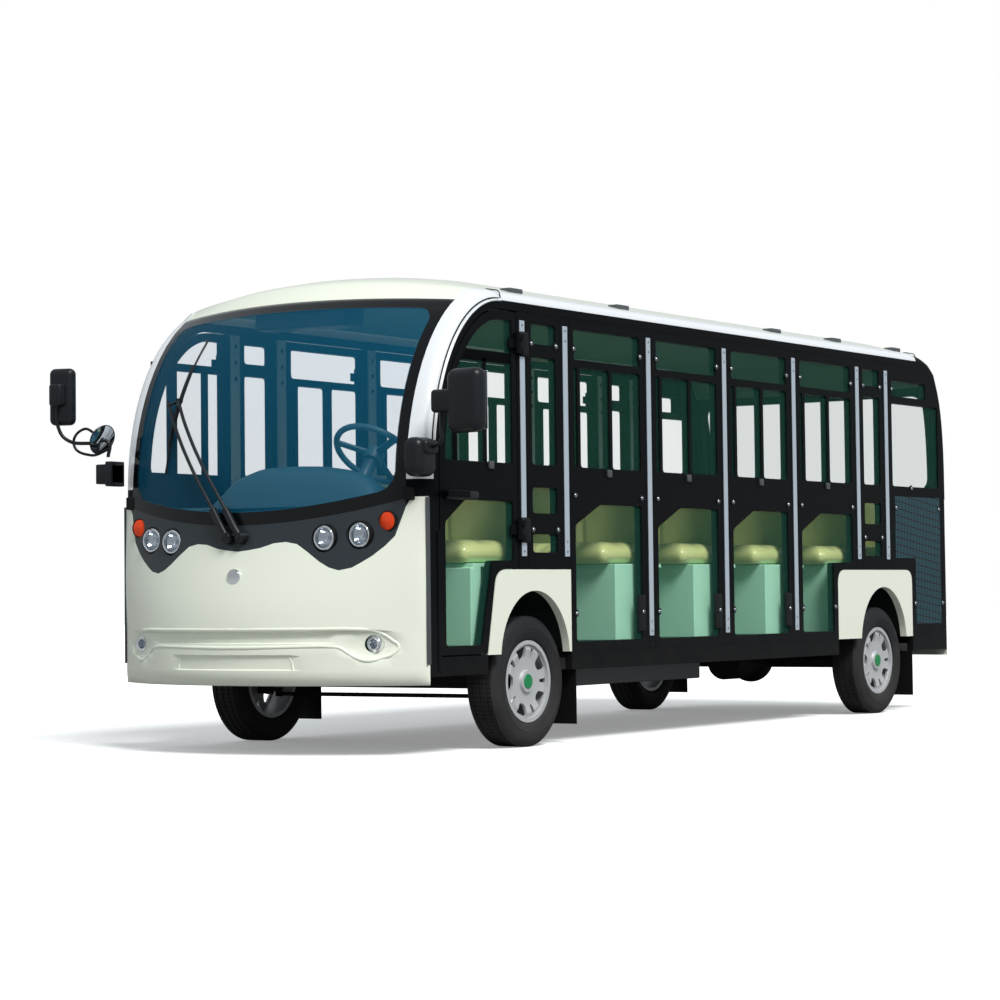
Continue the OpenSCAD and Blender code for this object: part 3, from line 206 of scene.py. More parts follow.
def ranged(tree, value, start=(0.0, 1.0), end=(0.0, 1.0), shape="LINEAR"):
    """Maps a value from the range start to the range end."""
    node = put(tree, "ShaderNodeMapRange", interpolation_type=shape)
    for label, given in zip(("Value", "From Min", "From Max", "To Min", "To Max"), (value, *start, *end)):
        feed(tree, given, node.inputs[label])
    return node.outputs[0]


def mixed(tree, factor, a, b):
    """A colour between two others."""
    node = put(tree, "ShaderNodeMix", data_type="RGBA")
    for label, given in (("Factor", factor), ("A", a), ("B", b)):
        feed(tree, given, node.inputs[label])
    return node.outputs["Result"]


def build_groups():
    """Effects that several finishes share."""
    number, shade = "NodeSocketFloat", "NodeSocketColor"
    white = (1, 1, 1, 1)

    tree, given, out = group_of(
        "Colour drift", [("Colour", shade, white), ("Scale", number, 1.0), ("Amount", number, 0.05)],
        [("Colour", shade)])
    centred = maths(tree, "SUBTRACT", noise(tree, given["Scale"], 3.0), 0.5)
    spread = maths(tree, "MULTIPLY", centred, given["Amount"])
    scale = put(tree, "ShaderNodeVectorMath", operation="SCALE")
    tree.links.new(given["Colour"], scale.inputs[0])
    tree.links.new(maths(tree, "ADD", spread, 1.0), scale.inputs["Scale"])
    tree.links.new(scale.outputs[0], out["Colour"])

    tree, given, out = group_of(
        "Road dust", [("Colour", shade, white), ("Dust", shade, (0.3, 0.27, 0.22, 1)), ("Low", number, 0.0),
                      ("High", number, 0.6), ("Amount", number, 0.3)],
        [("Colour", shade), ("Mask", number)])
    fade = ranged(tree, split_place(tree, place_of(tree))["Z"], (given["High"], given["Low"]))
    patch = maths(tree, "MULTIPLY", fade, noise(tree, 7.0, 6.0))
    mask = maths(tree, "MULTIPLY", patch, given["Amount"])
    tree.links.new(mixed(tree, mask, given["Colour"], given["Dust"]), out["Colour"])
    tree.links.new(mask, out["Mask"])

    tree, given, out = group_of("Surface grain", [("Scale", number, 200.0), ("Detail", number, 4.0)],
                                [("Height", number)])
    tree.links.new(noise(tree, given["Scale"], given["Detail"]), out["Height"])

    tree, given, out = group_of("Brushed lines", [("Along", number, 4.0), ("Across", number, 600.0)],
                                [("Height", number)])
    stretch = put(tree, "ShaderNodeCombineXYZ")
    for axis, label in (("X", "Along"), ("Y", "Across"), ("Z", "Across")):
        tree.links.new(given[label], stretch.inputs[axis])
    scaled = put(tree, "ShaderNodeVectorMath", operation="MULTIPLY")
    tree.links.new(place_of(tree), scaled.inputs[0])
    tree.links.new(stretch.outputs[0], scaled.inputs[1])
    tree.links.new(noise(tree, 1.0, 2.0, scaled.outputs[0]), out["Height"])


def use_group(tree, name, **values):
    node = put(tree, "ShaderNodeGroup", node_tree=bpy.data.node_groups[name])
    for label, value in values.items():
        feed(tree, value, node.inputs[label])
    return node.outputs


def finish(name, base, rough, metal=0.0, coat=0.0, drift=(1.2, 0.06), grain=None, dust=None, brushed=None,
           alpha=None, sheen=0.0, glow=None, gloss=0.5):
    """A Principled finish: drifting colour, dust low down, grain or brushed lines as bump."""
    material = bpy.data.materials.new(name)
    material.use_nodes = True
    tree = material.node_tree
    shader = tree.nodes["Principled BSDF"].inputs
    shader["Roughness"].default_value = rough
    shader["Metallic"].default_value = metal
    shader["Coat Weight"].default_value = coat
    shader["Coat Roughness"].default_value = 0.06
    shader["Sheen Weight"].default_value = sheen
    shader["Specular IOR Level"].default_value = gloss
    tint = use_group(tree, "Colour drift", Colour=base, Scale=drift[0], Amount=drift[1])["Colour"]
    if dust:
        dusty = use_group(tree, "Road dust", Colour=tint, Low=dust[0], High=dust[1], Amount=dust[2])
        tint = dusty["Colour"]
        dulled = maths(tree, "ADD", maths(tree, "MULTIPLY", dusty["Mask"], 0.5), rough)
        tree.links.new(dulled, shader["Roughness"])
    tree.links.new(tint, shader["Base Color"])
    height = None
    if grain:
        height = use_group(tree, "Surface grain", Scale=grain[0], Detail=4.0)["Height"]
        depth = grain[1]
    if brushed:
        height = use_group(tree, "Brushed lines", Along=brushed[0], Across=brushed[1])["Height"]
        depth = brushed[2]
    if height is not None:
        bump = put(tree, "ShaderNodeBump")
        bump.inputs["Strength"].default_value = 0.6
        bump.inputs["Distance"].default_value = depth
        tree.links.new(height, bump.inputs["Height"])
        tree.links.new(bump.outputs["Normal"], shader["Normal"])
    if alpha is not None:
        shader["Alpha"].default_value = alpha
    if glow is not None:
        shader["Emission Color"].default_value = (*base, 1.0)
        shader["Emission Strength"].default_value = glow
    FINISHES[name] = material
    return material


def bordered_glass(name, tint, border, alpha):
    """Glass with a printed black border, drawn from the pane's own border attribute."""
    tree = finish(name, tint, 0.03, drift=(0.8, 0.10), alpha=alpha, gloss=0.25).node_tree
    shader = tree.nodes["Principled BSDF"].inputs
    edge = put(tree, "ShaderNodeAttribute", attribute_name="border").outputs["Fac"]
    clear = ranged(tree, edge, start=(0.96, 1.04))
    glass = shader["Base Color"].links[0].from_socket
    tree.links.new(mixed(tree, clear, border, glass), shader["Base Color"])
    tree.links.new(ranged(tree, clear, end=(1.0, alpha)), shader["Alpha"])


def shaded_net_finish(name, ground, line):
    """A dark ground, painted shade of the cabin seen through the glass, with a net drawn on it: two sets of
    slanting lines.
    """
    lines_per_metre, line_share, slant = 24.0, 0.16, 0.12
    tree = finish(name, ground, 0.10, drift=(2.5, 0.35), gloss=0.20).node_tree
    shader = tree.nodes["Principled BSDF"].inputs
    place = split_place(tree, place_of(tree))
    lines = []
    for main, other, lean in (("X", "Z", slant), ("Z", "X", -slant)):
        across = maths(tree, "ADD", place[main], maths(tree, "MULTIPLY", place[other], lean))
        wave = maths(tree, "FRACT", maths(tree, "MULTIPLY", across, lines_per_metre), 0.0)
        lines.append(maths(tree, "LESS_THAN", wave, line_share))
    glass = shader["Base Color"].links[0].from_socket
    tree.links.new(mixed(tree, maths(tree, "MAXIMUM", *lines), glass, line), shader["Base Color"])


def build_finishes():
    paint = bpy.context.scene.bus_paint
    build_groups()
    finish("cream_paint", paint.cream, 0.24, coat=0.35, drift=(0.7, 0.05), grain=(260.0, 0.00004),
           dust=(0.3, 0.62, 0.10))
    finish("dark_mask", paint.mask, 0.32, drift=(2.0, 0.15), grain=(420.0, 0.00004), gloss=0.35)
    finish("black_steel", paint.black, 0.42, grain=(300.0, 0.00006), dust=(0.30, 0.70, 0.04), gloss=0.04)
    finish("silver_trim", paint.silver, 0.20, metal=0.30, brushed=(3.0, 700.0, 0.00003))
    finish("bolt_dome", (0.32, 0.35, 0.38), 0.16, metal=0.9, drift=(8.0, 0.2))
    finish("strip_metal", (0.60, 0.68, 0.76), 0.26, metal=0.55, brushed=(3.0, 700.0, 0.00003))
    finish("inner_cover", (0.40, 0.49, 0.49), 0.38, grain=(300.0, 0.0001), drift=(2.0, 0.12), gloss=0.4)
    bordered_glass("screen_glass", paint.screen_tint, paint.black, 0.13)
    finish("side_glass", paint.side_tint, 0.03, drift=(0.8, 0.10), alpha=0.06)
    finish("lamp_glass", (0.90, 0.95, 1.0), 0.04, coat=1.0, alpha=0.10)
    finish("lamp_bowl", (0.50, 0.56, 0.64), 0.10, metal=1.0, drift=(30.0, 0.30))
    finish("amber_lens", paint.amber, 0.20, coat=0.15, grain=(90.0, 0.0006), glow=0.03, gloss=0.3)
    finish("red_lens", paint.red, 0.14, coat=0.5, grain=(90.0, 0.0006))
    finish("bright_trim", (0.86, 0.88, 0.90), 0.10, metal=1.0, drift=(6.0, 0.05))
    finish("silver_wheel", paint.wheel, 0.42, metal=0.35, grain=(350.0, 0.00005), dust=(0.05, 0.60, 0.12),
           gloss=0.4)
    finish("hub_disc", paint.hub_disc, 0.36, grain=(300.0, 0.00003), gloss=0.3)
    finish("tyre", (0.011, 0.012, 0.015), 0.66, grain=(180.0, 0.0004), dust=(0.0, 0.65, 0.16), drift=(9.0, 0.5),
           gloss=0.25)
    finish("black_rubber", (0.006, 0.006, 0.007), 0.55, grain=(220.0, 0.0002), drift=(5.0, 0.3), gloss=0.2)
    finish("black_plastic", (0.008, 0.010, 0.013), 0.36, grain=(520.0, 0.00015), drift=(4.0, 0.2), gloss=0.3)
    finish("cast_axle", (0.012, 0.011, 0.011), 0.65, metal=0.2, grain=(120.0, 0.0008), dust=(0.0, 0.5, 0.2),
           gloss=0.2)
    finish("grey_steel", (0.10, 0.11, 0.12), 0.45, metal=0.5, grain=(150.0, 0.0004), dust=(0.0, 0.5, 0.25))
    finish("floor_mat", (0.03, 0.05, 0.045), 0.70, grain=(260.0, 0.0004), drift=(3.0, 0.3), gloss=0.2)
    finish("mint_panel", paint.mint, 0.40, grain=(300.0, 0.00008), drift=(1.6, 0.10), gloss=0.3)
    vinyl = dict(sheen=0.1, grain=(48.0, 0.0022), drift=(4.0, 0.22))
    finish("seat_vinyl", paint.vinyl, 0.30, coat=0.3, **vinyl)
    # The seat backs use the same vinyl darkened to 0.6: painted shade for backs that stand in the cabin's shadow.
    finish("shaded_back_vinyl", [0.6 * part for part in paint.vinyl], 0.34, coat=0.2, **vinyl)
    finish("dash_plastic", paint.dash, 0.45, grain=(420.0, 0.0002), drift=(2.0, 0.15))
    finish("roof_lining", paint.lining, 0.60, grain=(200.0, 0.0003), drift=(1.0, 0.25), gloss=0.2)
    finish("mirror_face", (0.80, 0.84, 0.88), 0.02, metal=1.0, drift=(3.0, 0.02))
    # Rear quarter panes: real net lines on a ground of painted shade.
    shaded_net_finish("net_over_painted_shade", paint.net, paint.black)


# Making pieces

def settle(bm, name, body, finishes, stands_for=(), angle=35.0):
    """Turns a bmesh into a finished piece at the origin: smooth, with its sharp edges kept."""
    limit = math.radians(angle)
    for edge in bm.edges:
        edge.smooth = len(edge.link_faces) != 2 or edge.calc_face_angle(0.0) < limit
    for face in bm.faces:
        face.smooth = True
    mesh = bpy.data.meshes.new(name)
    bm.to_mesh(mesh)
    bm.free()
    if "custom_normal" in mesh.attributes:
        mesh.attributes.remove(mesh.attributes["custom_normal"])
    for label in finishes:
        mesh.materials.append(FINISHES[label])
    piece = bpy.data.objects.new(name, mesh)
    bpy.context.scene.collection.objects.link(piece)
    if stands_for:
        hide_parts(*stands_for)
    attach(piece, body)
    return piece


def copy_of(node):
    bm = bmesh.new()
    bm.from_mesh(NODES[node].data)
    bmesh.ops.remove_doubles(bm, verts=bm.verts, dist=0.00002)
    return bm


def cut_level(bm, z):
    """Cuts a mesh along a level plane, where its finish changes."""
    everything = list(bm.verts) + list(bm.edges) + list(bm.faces)
    bmesh.ops.bisect_plane(bm, geom=everything, plane_co=(0, 0, z), plane_no=(0, 0, 1))


def round_edges(bm, offset, segments=2, limit=35.0):
    sharp = [e for e in bm.edges if len(e.link_faces) == 2 and e.calc_face_angle(0.0) > math.radians(limit)]
    bmesh.ops.bevel(bm, geom=sharp, offset=offset, offset_type="OFFSET", segments=segments, profile=0.5,
                    affect="EDGES", clamp_overlap=True, material=-1)


def dress(node, label, edge=0.0, angle=35.0):
    """A smooth copy of a CAD node, with its hard edges rounded, in one finish."""
    bm = copy_of(node)
    if edge:
        bmesh.ops.dissolve_limit(bm, angle_limit=math.radians(0.4), verts=bm.verts, edges=bm.edges,
                                 use_dissolve_boundaries=False, delimit=set())
        round_edges(bm, edge)
    body = NODES[node]["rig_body"]
    piece = settle(bm, node + "_skin", body, [label], stands_for=(node,), angle=angle)
    if edge:
        weigh_normals(piece)
    return piece


def weigh_normals(piece):
    """Keeps large flat faces flat beside their rounded edges."""
    piece.modifiers.new("Weighted normals", "WEIGHTED_NORMAL").keep_sharp = True
    graph = bpy.context.evaluated_depsgraph_get()
    graph.update()
    old = piece.data
    piece.data = bpy.data.meshes.new_from_object(piece.evaluated_get(graph))
    piece.modifiers.clear()
    bpy.data.meshes.remove(old)


def paint_node(node, label):
    mesh = NODES[node].data
    mesh.materials.clear()
    mesh.materials.append(FINISHES[label])


def islands(node):
    """Boxes of the loose parts of a CAD node, as (lowest, highest) corners."""
    bm = copy_of(node)
    boxes, seen = [], set()
    for start in bm.verts:
        if start in seen:
            continue
        part, heap = [], [start]
        seen.add(start)
        while heap:
            vert = heap.pop()
            part.append(vert.co.copy())
            for edge in vert.link_edges:
                other = edge.other_vert(vert)
                if other not in seen:
                    seen.add(other)
                    heap.append(other)
        boxes.append((Vector([min(c[i] for c in part) for i in range(3)]),
                      Vector([max(c[i] for c in part) for i in range(3)])))
    bm.free()
    return sorted(boxes, key=lambda b: (round(b[0].x, 3), b[0].y, b[0].z))


def turned(bm, profile, centre, axis, steps=40):
    """Adds a profile of (along, radius) turned about an axis through the centre."""
    axis = Vector(axis).normalized()
    side = axis.orthogonal().normalized()
    centre = Vector(centre)
    verts = [bm.verts.new(centre + axis * along + side * max(radius, 0.00001)) for along, radius in profile]
    edges = [bm.edges.new(pair) for pair in zip(verts, verts[1:])]
    before = set(bm.faces)
    bmesh.ops.spin(bm, geom=verts + edges, cent=centre, axis=axis, angle=math.tau, steps=steps, use_merge=True)
    made = [f for f in bm.faces if f not in before]
    points = list({v for f in made for v in f.verts})
    bmesh.ops.remove_doubles(bm, verts=points, dist=0.00004)
    made = [f for f in bm.faces if f not in before]
    bmesh.ops.recalc_face_normals(bm, faces=made)
    return made


def brick(bm, low, high, edge=0.0, segments=3):
    """Adds a box between two corners with rounded edges."""
    low, high = Vector(low), Vector(high)
    place = Matrix.Translation((low + high) / 2) @ Matrix.Diagonal((*(high - low), 1.0))
    verts = bmesh.ops.create_cube(bm, size=1.0, matrix=place)["verts"]
    if edge:
        edges = list({e for v in verts for e in v.link_edges})
        bmesh.ops.bevel(bm, geom=edges, offset=edge, offset_type="OFFSET", segments=segments, profile=0.5,
                        affect="EDGES", clamp_overlap=True, material=-1)


def mirrored_brick(bm, low, high, edge=0.0, segments=3):
    """Adds a rounded box on each side of the bus."""
    for side in (-1, 1):
        near, far = sorted((side * low[1], side * high[1]))
        brick(bm, (low[0], near, low[2]), (high[0], far, high[2]), edge, segments)


def tube(bm, points, radius, rounded=True):
    """Adds a round tube along a smooth path."""
    curve = bpy.data.curves.new("path", "CURVE")
    curve.dimensions = "3D"
    curve.bevel_depth = radius
    curve.bevel_resolution = 4
    curve.use_fill_caps = True
    spline = curve.splines.new("BEZIER" if rounded else "POLY")
    if rounded:
        spline.bezier_points.add(len(points) - 1)
        for knot, place in zip(spline.bezier_points, points):
            knot.co = place
            knot.handle_left_type = knot.handle_right_type = "AUTO"
    else:
        spline.points.add(len(points) - 1)
        for knot, place in zip(spline.points, points):
            knot.co = (*place, 1.0)
    holder = bpy.data.objects.new("path", curve)
    bpy.context.scene.collection.objects.link(holder)
    mesh = bpy.data.meshes.new_from_object(holder.evaluated_get(bpy.context.evaluated_depsgraph_get()))
    bm.from_mesh(mesh)
    bpy.data.objects.remove(holder)
    bpy.data.curves.remove(curve)
    bpy.data.meshes.remove(mesh)


def face_finder(*nodes):
    """Finds where a line parallel to X first meets these nodes from the front."""
    trees = []
    for node in nodes:
        bm = copy_of(node)
        trees.append(BVHTree.FromBMesh(bm))
        bm.free()

    def find(y, z, out=0.0):
        hits = [t.ray_cast(Vector((6.0, y, z)), Vector((-1.0, 0.0, 0.0)))[0] for t in trees]
        hits = [h for h in hits if h is not None]
        if not hits:
            raise ValueError(f"no surface at {y:.3f}, {z:.3f}")
        return Vector((max(h.x for h in hits) + out, y, z))

    return find


# Operators

class BusOperator:
    bl_options = {"REGISTER", "UNDO"}

    @property
    def trim(self):
        return bpy.context.scene.bus_trim


class BUS_OT_finishes(BusOperator, bpy.types.Operator):
    """Make the shader groups and the finishes"""
    bl_idname = "bus.finishes"
    bl_label = "Finishes"

    def execute(self, context):
        build_finishes()
        return {"FINISHED"}


class BUS_OT_painted_shell(BusOperator, bpy.types.Operator):
    """Dress the painted cowl, roof, arch panels and tail"""
    bl_idname = "bus.painted_shell"
    bl_label = "Painted shell"
    CORNER_FOOT = 1.128
    CORNER_SIDE = 0.76
    BOSS_HEIGHT = 0.790

    def execute(self, context):
        self.cowl()
        self.bumper_lines()
        dress("cowl_mask", "dark_mask", angle=40.0)
        dress("rear_shell", "cream_paint", angle=40.0)
        dress("arch_panels", "cream_paint", edge=0.008)
        self.roof()
        self.boss()
        return {"FINISHED"}

    def cowl(self):
        """Cream, with a black corner under each arch foot."""
        bm = copy_of("front_cowl")
        cut_level(bm, self.CORNER_FOOT)
        for face in bm.faces:
            place = face.calc_center_median()
            corner = place.z > self.CORNER_FOOT and abs(place.y) > self.CORNER_SIDE
            face.material_index = 1 if corner else 0
        settle(bm, "front_cowl_skin", BODY, ["cream_paint", "black_steel"], stands_for=("front_cowl",),
               angle=40.0)

    def bumper_lines(self):
        """Rolled edges of the bumper band, its lamp eyes and the plate field."""
        find = face_finder("front_cowl")
        half = [(0.0, 0.557), (0.20, 0.557), (0.40, 0.557), (0.60, 0.556), (0.658, 0.551), (0.695, 0.533),
                (0.726, 0.507), (0.752, 0.480), (0.738, 0.453), (0.691, 0.430), (0.635, 0.420), (0.592, 0.433),
                (0.556, 0.455), (0.528, 0.474), (0.476, 0.482), (0.38, 0.482), (0.20, 0.479), (0.0, 0.477)]
        band = half + [(-y, z) for y, z in reversed(half[:-1])]
        field = [(-0.325, 0.375), (-0.312, 0.420), (-0.285, 0.443), (-0.14, 0.443), (0.0, 0.443),
                 (0.14, 0.443), (0.285, 0.443), (0.312, 0.420), (0.325, 0.375)]
        bm = bmesh.new()
        tube(bm, [find(y, z, -0.0045) for y, z in band], 0.0090)
        tube(bm, [find(y, z, -0.0022) for y, z in field], 0.0036)
        settle(bm, "bumper_lines", BODY, ["cream_paint"], angle=60.0)

    def roof(self):
        """Cream outside, dark lining inside."""
        bm = copy_of("roof_shell")
        for face in bm.faces:
            face.material_index = 1 if face.normal.z < -0.2 else 0
        settle(bm, "roof_shell_skin", BODY, ["cream_paint", "roof_lining"], stands_for=("roof_shell",),
               angle=50.0)

    def boss(self):
        """Round blank boss in the middle of the cowl."""
        place = face_finder("front_cowl")(0.0, self.BOSS_HEIGHT)
        r = self.trim.badge_r
        bm = bmesh.new()
        turned(bm, [(-0.012, 0.0), (-0.012, r), (0.004, r), (0.008, r * 0.93), (0.007, r * 0.80), (0.010, 0.0)],
               place, (1, 0, 0))
        settle(bm, "cowl_boss", BODY, ["bright_trim"])


class BUS_OT_screens(BusOperator, bpy.types.Operator):
    """Dress the windscreen and the rear window with their black borders"""
    bl_idname = "bus.screens"
    bl_label = "Screens"
    PANE_STEP = 0.045
    BORDER_FADE = 0.05

    def execute(self, context):
        self.screen("windshield")
        self.screen("rear_window")
        return {"FINISHED"}

    def screen(self, node):
        """A pane whose border attribute passes 1 where the clear part starts."""
        trim = self.trim
        bm = copy_of(node)
        columns = {}
        for vert in bm.verts:
            columns.setdefault(round(vert.co.y, 3), []).append(vert.co.z)
        line = sorted((y, min(zs), max(zs)) for y, zs in columns.items())
        for _ in range(4):
            bmesh.ops.triangulate(bm, faces=bm.faces)
            long = [e for e in bm.edges if e.calc_length() > self.PANE_STEP]
            bmesh.ops.subdivide_edges(bm, edges=long, cuts=1)
        layer = bm.verts.layers.float.new("border")
        for vert in bm.verts:
            y, z = vert.co.y, vert.co.z
            near, far = next(pair for pair in zip(line, line[1:]) if y <= pair[1][0] + 0.001)
            share = (y - near[0]) / (far[0] - near[0])
            foot, head = (a + (b - a) * share for a, b in zip(near[1:], far[1:]))
            side = line[-1][0] - abs(y) - trim.screen_side
            rise = min(head - z - trim.screen_head, z - foot - trim.screen_foot)
            r = trim.screen_round
            inner = r - math.hypot(r - side, r - rise) if side < r and rise < r else min(side, rise)
            vert[layer] = 1.0 + inner / self.BORDER_FADE
        settle(bm, node + "_pane", BODY, ["screen_glass"], stands_for=(node,), angle=40.0)


class BUS_OT_silver_trim(BusOperator, bpy.types.Operator):
    """Dress the silver arches, rails and pillar strips"""
    bl_idname = "bus.silver_trim"
    bl_label = "Silver trim"
    POST_X = 2.4
    CLAMP_XS = (1.70, 0.74, -0.86, -1.58, -2.35)
    CLAMP_Y = 0.735

    def execute(self, context):
        self.arches()
        self.corner_fills()
        dress("roof_rails", "silver_trim", edge=0.002, angle=40.0)
        self.strips()
        self.rail_joints()
        self.arch_lines()
        self.clamps()
        return {"FINISHED"}

    def arches(self):
        """Silver arches that stand on black feet."""
        bm = copy_of("front_arches")
        cut_level(bm, ARCH_FOOT)
        for face in bm.faces:
            face.material_index = 1 if face.calc_center_median().z < ARCH_FOOT else 0
        settle(bm, "front_arches_skin", BODY, ["silver_trim", "black_steel"], stands_for=("front_arches",),
               angle=40.0)

    def corner_fills(self):
        """Rubber between the foot of each arch and the edge of the windscreen."""
        bm = bmesh.new()
        mirrored_brick(bm, (2.555, 0.770, 1.112), (2.626, 0.816, 1.170), 0.005)
        settle(bm, "screen_corner_fills", BODY, ["black_rubber"])

    def strips(self):
        """Silver strips on the pillars, black ones on the posts, grey ones up the edge of the cowl."""
        bm = copy_of("pillar_strips")
        for face in bm.faces:
            face.material_index = 1 if face.calc_center_median().x > self.POST_X else 0
        round_edges(bm, 0.0015)
        weigh_normals(settle(bm, "pillar_strips_skin", BODY, ["strip_metal", "black_steel"],
                             stands_for=("pillar_strips",)))
        edge = bmesh.new()
        mirrored_brick(edge, (2.558, WALL - 0.004, 0.400), (2.584, WALL + 0.0012, 1.126), 0.001)
        settle(edge, "cowl_edge_strips", BODY, ["grey_steel"])

    def rail_joints(self):
        """Dark joint between each arch and its rail."""
        low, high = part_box("roof_rails")
        bm = bmesh.new()
        for side in (-1, 1):
            for x in (high.x, low.x):
                tube(bm, [(x, side * (WALL + 0.0005), low.z + 0.01), (x, side * (WALL - 0.010), low.z + 0.04),
                          (x, side * (WALL - 0.045), high.z - 0.006), (x, side * (high.y - 0.078), high.z)],
                     0.0025)
        settle(bm, "rail_joints", BODY, ["black_rubber"])

    def arch_lines(self):
        """Silver bead along the outer edge of each arch, and the dark seam beside it."""
        bead, seam = bmesh.new(), bmesh.new()
        edge = copy_of("front_arches")
        for side in (-1, 1):
            path = {}
            for vert in edge.verts:
                if side * vert.co.y > WALL - 0.0006 and vert.co.z > ARCH_FOOT:
                    path[round(vert.co.x + vert.co.z * 3.0, 3)] = vert.co.copy()
            places = sorted(path.values(), key=lambda c: c.z - c.x)
            tube(bead, [c + Vector((0, side * 0.001, 0)) for c in places], 0.006)
            tube(seam, [c + Vector((0.012, side * -0.0015, 0.008)) for c in places], 0.0035)
        edge.free()
        settle(bead, "arch_beads", BODY, ["silver_trim"])
        settle(seam, "arch_seams", BODY, ["black_rubber"])

    def clamps(self):
        """Low dark clamps along the edges of the roof."""
        roof = copy_of("roof_shell")
        tree = BVHTree.FromBMesh(roof)
        roof.free()
        bm = bmesh.new()
        for side in (-1, 1):
            for x in self.CLAMP_XS:
                y = side * self.CLAMP_Y
                top = tree.ray_cast(Vector((x, y, 4.0)), Vector((0, 0, -1)))[0]
                brick(bm, (x - 0.055, y - 0.030, top.z - 0.012), (x + 0.055, y + 0.030, top.z + 0.014),
                      0.006)
        settle(bm, "roof_clamps", BODY, ["grey_steel"])


class BUS_OT_black_frames(BusOperator, bpy.types.Operator):
    """Dress the black side walls and door frames"""
    bl_idname = "bus.black_frames"
    bl_label = "Black frames"

    def execute(self, context):
        edge = self.trim.edge_round
        row_doors = [f"row_door_frame_{number}" for number in ROW_DOORS]
        for node in ["side_headers", "side_pillars", "side_sills", "fixed_panels", "door_hinges",
                     "driver_door_frame", "codriver_door_frame"] + row_doors:
            dress(node, "black_steel", edge=edge)
        dress("rear_arches", "black_steel", angle=40.0)
        return {"FINISHED"}


class BUS_OT_side_glass(BusOperator, bpy.types.Operator):
    """Glaze the fixed panels and the doors"""
    bl_idname = "bus.side_glass"
    bl_label = "Side glass"

    def execute(self, context):
        row_doors = [f"row_door_glass_{number}" for number in ROW_DOORS]
        for node in ["fixed_glass", "driver_door_glass", "codriver_door_glass"] + row_doors:
            paint_node(node, "side_glass")
        return {"FINISHED"}


class BUS_OT_lamps(BusOperator, bpy.types.Operator):
    """Make the lamps of the front and the rear"""
    bl_idname = "bus.lamps"
    bl_label = "Lamps"
    HEAD_DEPTH = 0.050
    FOG_DEPTH = 0.040
    FOG_TOP = 0.7
    FOG_SINK = Vector((0.012, 0.0, 0.0))
    TURN_LIP = 0.006

    def execute(self, context):
        bowls, rings, lenses, ambers, reds, seats = (bmesh.new() for _ in range(6))
        for low, high in islands("head_lamps"):
            self.bright_lamp(bowls, rings, lenses, seats, low, high, self.HEAD_DEPTH)
        for low, high in islands("front_lenses"):
            if high.z < self.FOG_TOP:
                self.bright_lamp(bowls, rings, lenses, rings, low - self.FOG_SINK, high - self.FOG_SINK,
                                 self.FOG_DEPTH)
        for low, high in islands("turn_lamps"):
            self.dome(ambers, seats, low, high, 1, self.TURN_LIP)
        for low, high in islands("tail_lamps"):
            self.dome(reds, rings, low, high, -1, 0.0)
        settle(bowls, "lamp_bowls", BODY, ["lamp_bowl"], stands_for=("head_lamps",))
        # The black rings round the head and turn lamps are painted shadow: they stand for the shade in the recess
        # round each lamp.
        settle(seats, "lamp_shadow_rings", BODY, ["black_rubber"])
        settle(rings, "lamp_rings", BODY, ["bright_trim"])
        settle(lenses, "lamp_lenses", BODY, ["lamp_glass"], stands_for=("front_lenses",))
        settle(ambers, "turn_lamp_domes", BODY, ["amber_lens"], stands_for=("turn_lamps",))
        settle(reds, "tail_lamp_domes", BODY, ["red_lens"], stands_for=("tail_lamps",))
        return {"FINISHED"}

    def bright_lamp(self, bowls, rings, lenses, seats, low, high, depth):
        """A clear lamp: seat ring, bright ring, ribbed bowl with its bulb holder, and lens. A black seat ring is
        painted shadow of the recess round the lamp.
        """
        axis = (1, 0, 0)
        centre = Vector((high.x, (low.y + high.y) / 2, (low.z + high.z) / 2))
        r = (high.z - low.z) / 2 - 0.0004
        turned(seats, [(-0.030, r), (0.001, r), (0.003, r - 0.003), (0.001, r - 0.008), (-0.030, r - 0.008),
                       (-0.030, r)], centre, axis)
        r -= 0.007
        turned(rings, [(-0.016, r), (0.004, r), (0.008, r - 0.004), (0.006, r - 0.009), (-0.004, r - 0.011),
                       (-0.016, r - 0.010), (-0.016, r)], centre, axis)
        inner = r - 0.010
        wall = [(0.55, 0.80), (0.80, 0.50), (0.85, 0.26), (0.30, 0.24), (0.26, 0.18), (0.26, 0.0)]
        turned(bowls, [(-0.014, inner + 0.0005), (-0.016, inner - 0.001)]
               + [(-depth * back, inner * out) for back, out in wall], centre, axis)
        for angle in range(0, 360, 30):
            turn = Matrix.Rotation(math.radians(angle), 3, "X")
            start = centre + turn @ Vector((-depth * 0.80, 0, inner * 0.48))
            end = centre + turn @ Vector((-0.018, 0, inner * 0.97))
            middle = (start + end) / 2 + turn @ Vector((-depth * 0.10, 0, inner * 0.05))
            tube(bowls, [start, middle, end], 0.0012)
        turned(lenses, [(-0.004, inner + 0.001), (0.001, inner + 0.0005), (0.005, inner * 0.70),
                        (0.008, inner * 0.35), (0.009, 0.0)], centre, axis)

    def dome(self, lenses, rings, low, high, way, lip):
        """A stepped coloured lens in a ring."""
        x = high.x if way > 0 else low.x
        centre = Vector((x - way * 0.008, (low.y + high.y) / 2, (low.z + high.z) / 2))
        r = (high.z - low.z) / 2 - 0.001 + lip
        profile = [(-0.040, 0.0), (-0.040, r - 0.004), (-0.004, r - 0.004), (0.000, r - 0.005)]
        steps, crown, lens_r = 6, 0.006, r - 0.006
        for k in range(steps):
            share = 1 - k / steps
            rise = crown * (1 - share ** 2)
            profile += [(rise + 0.001, lens_r * share), (rise + 0.0022, lens_r * (share - 0.07))]
        turned(lenses, profile + [(0.0085, 0.0)], centre, (way, 0, 0))
        turned(rings, [(-0.040, r - 0.0035), (-0.040, r), (0.001, r), (0.003, r - 0.002), (0.001, r - 0.0035),
                       (-0.040, r - 0.0035)], centre, (way, 0, 0))


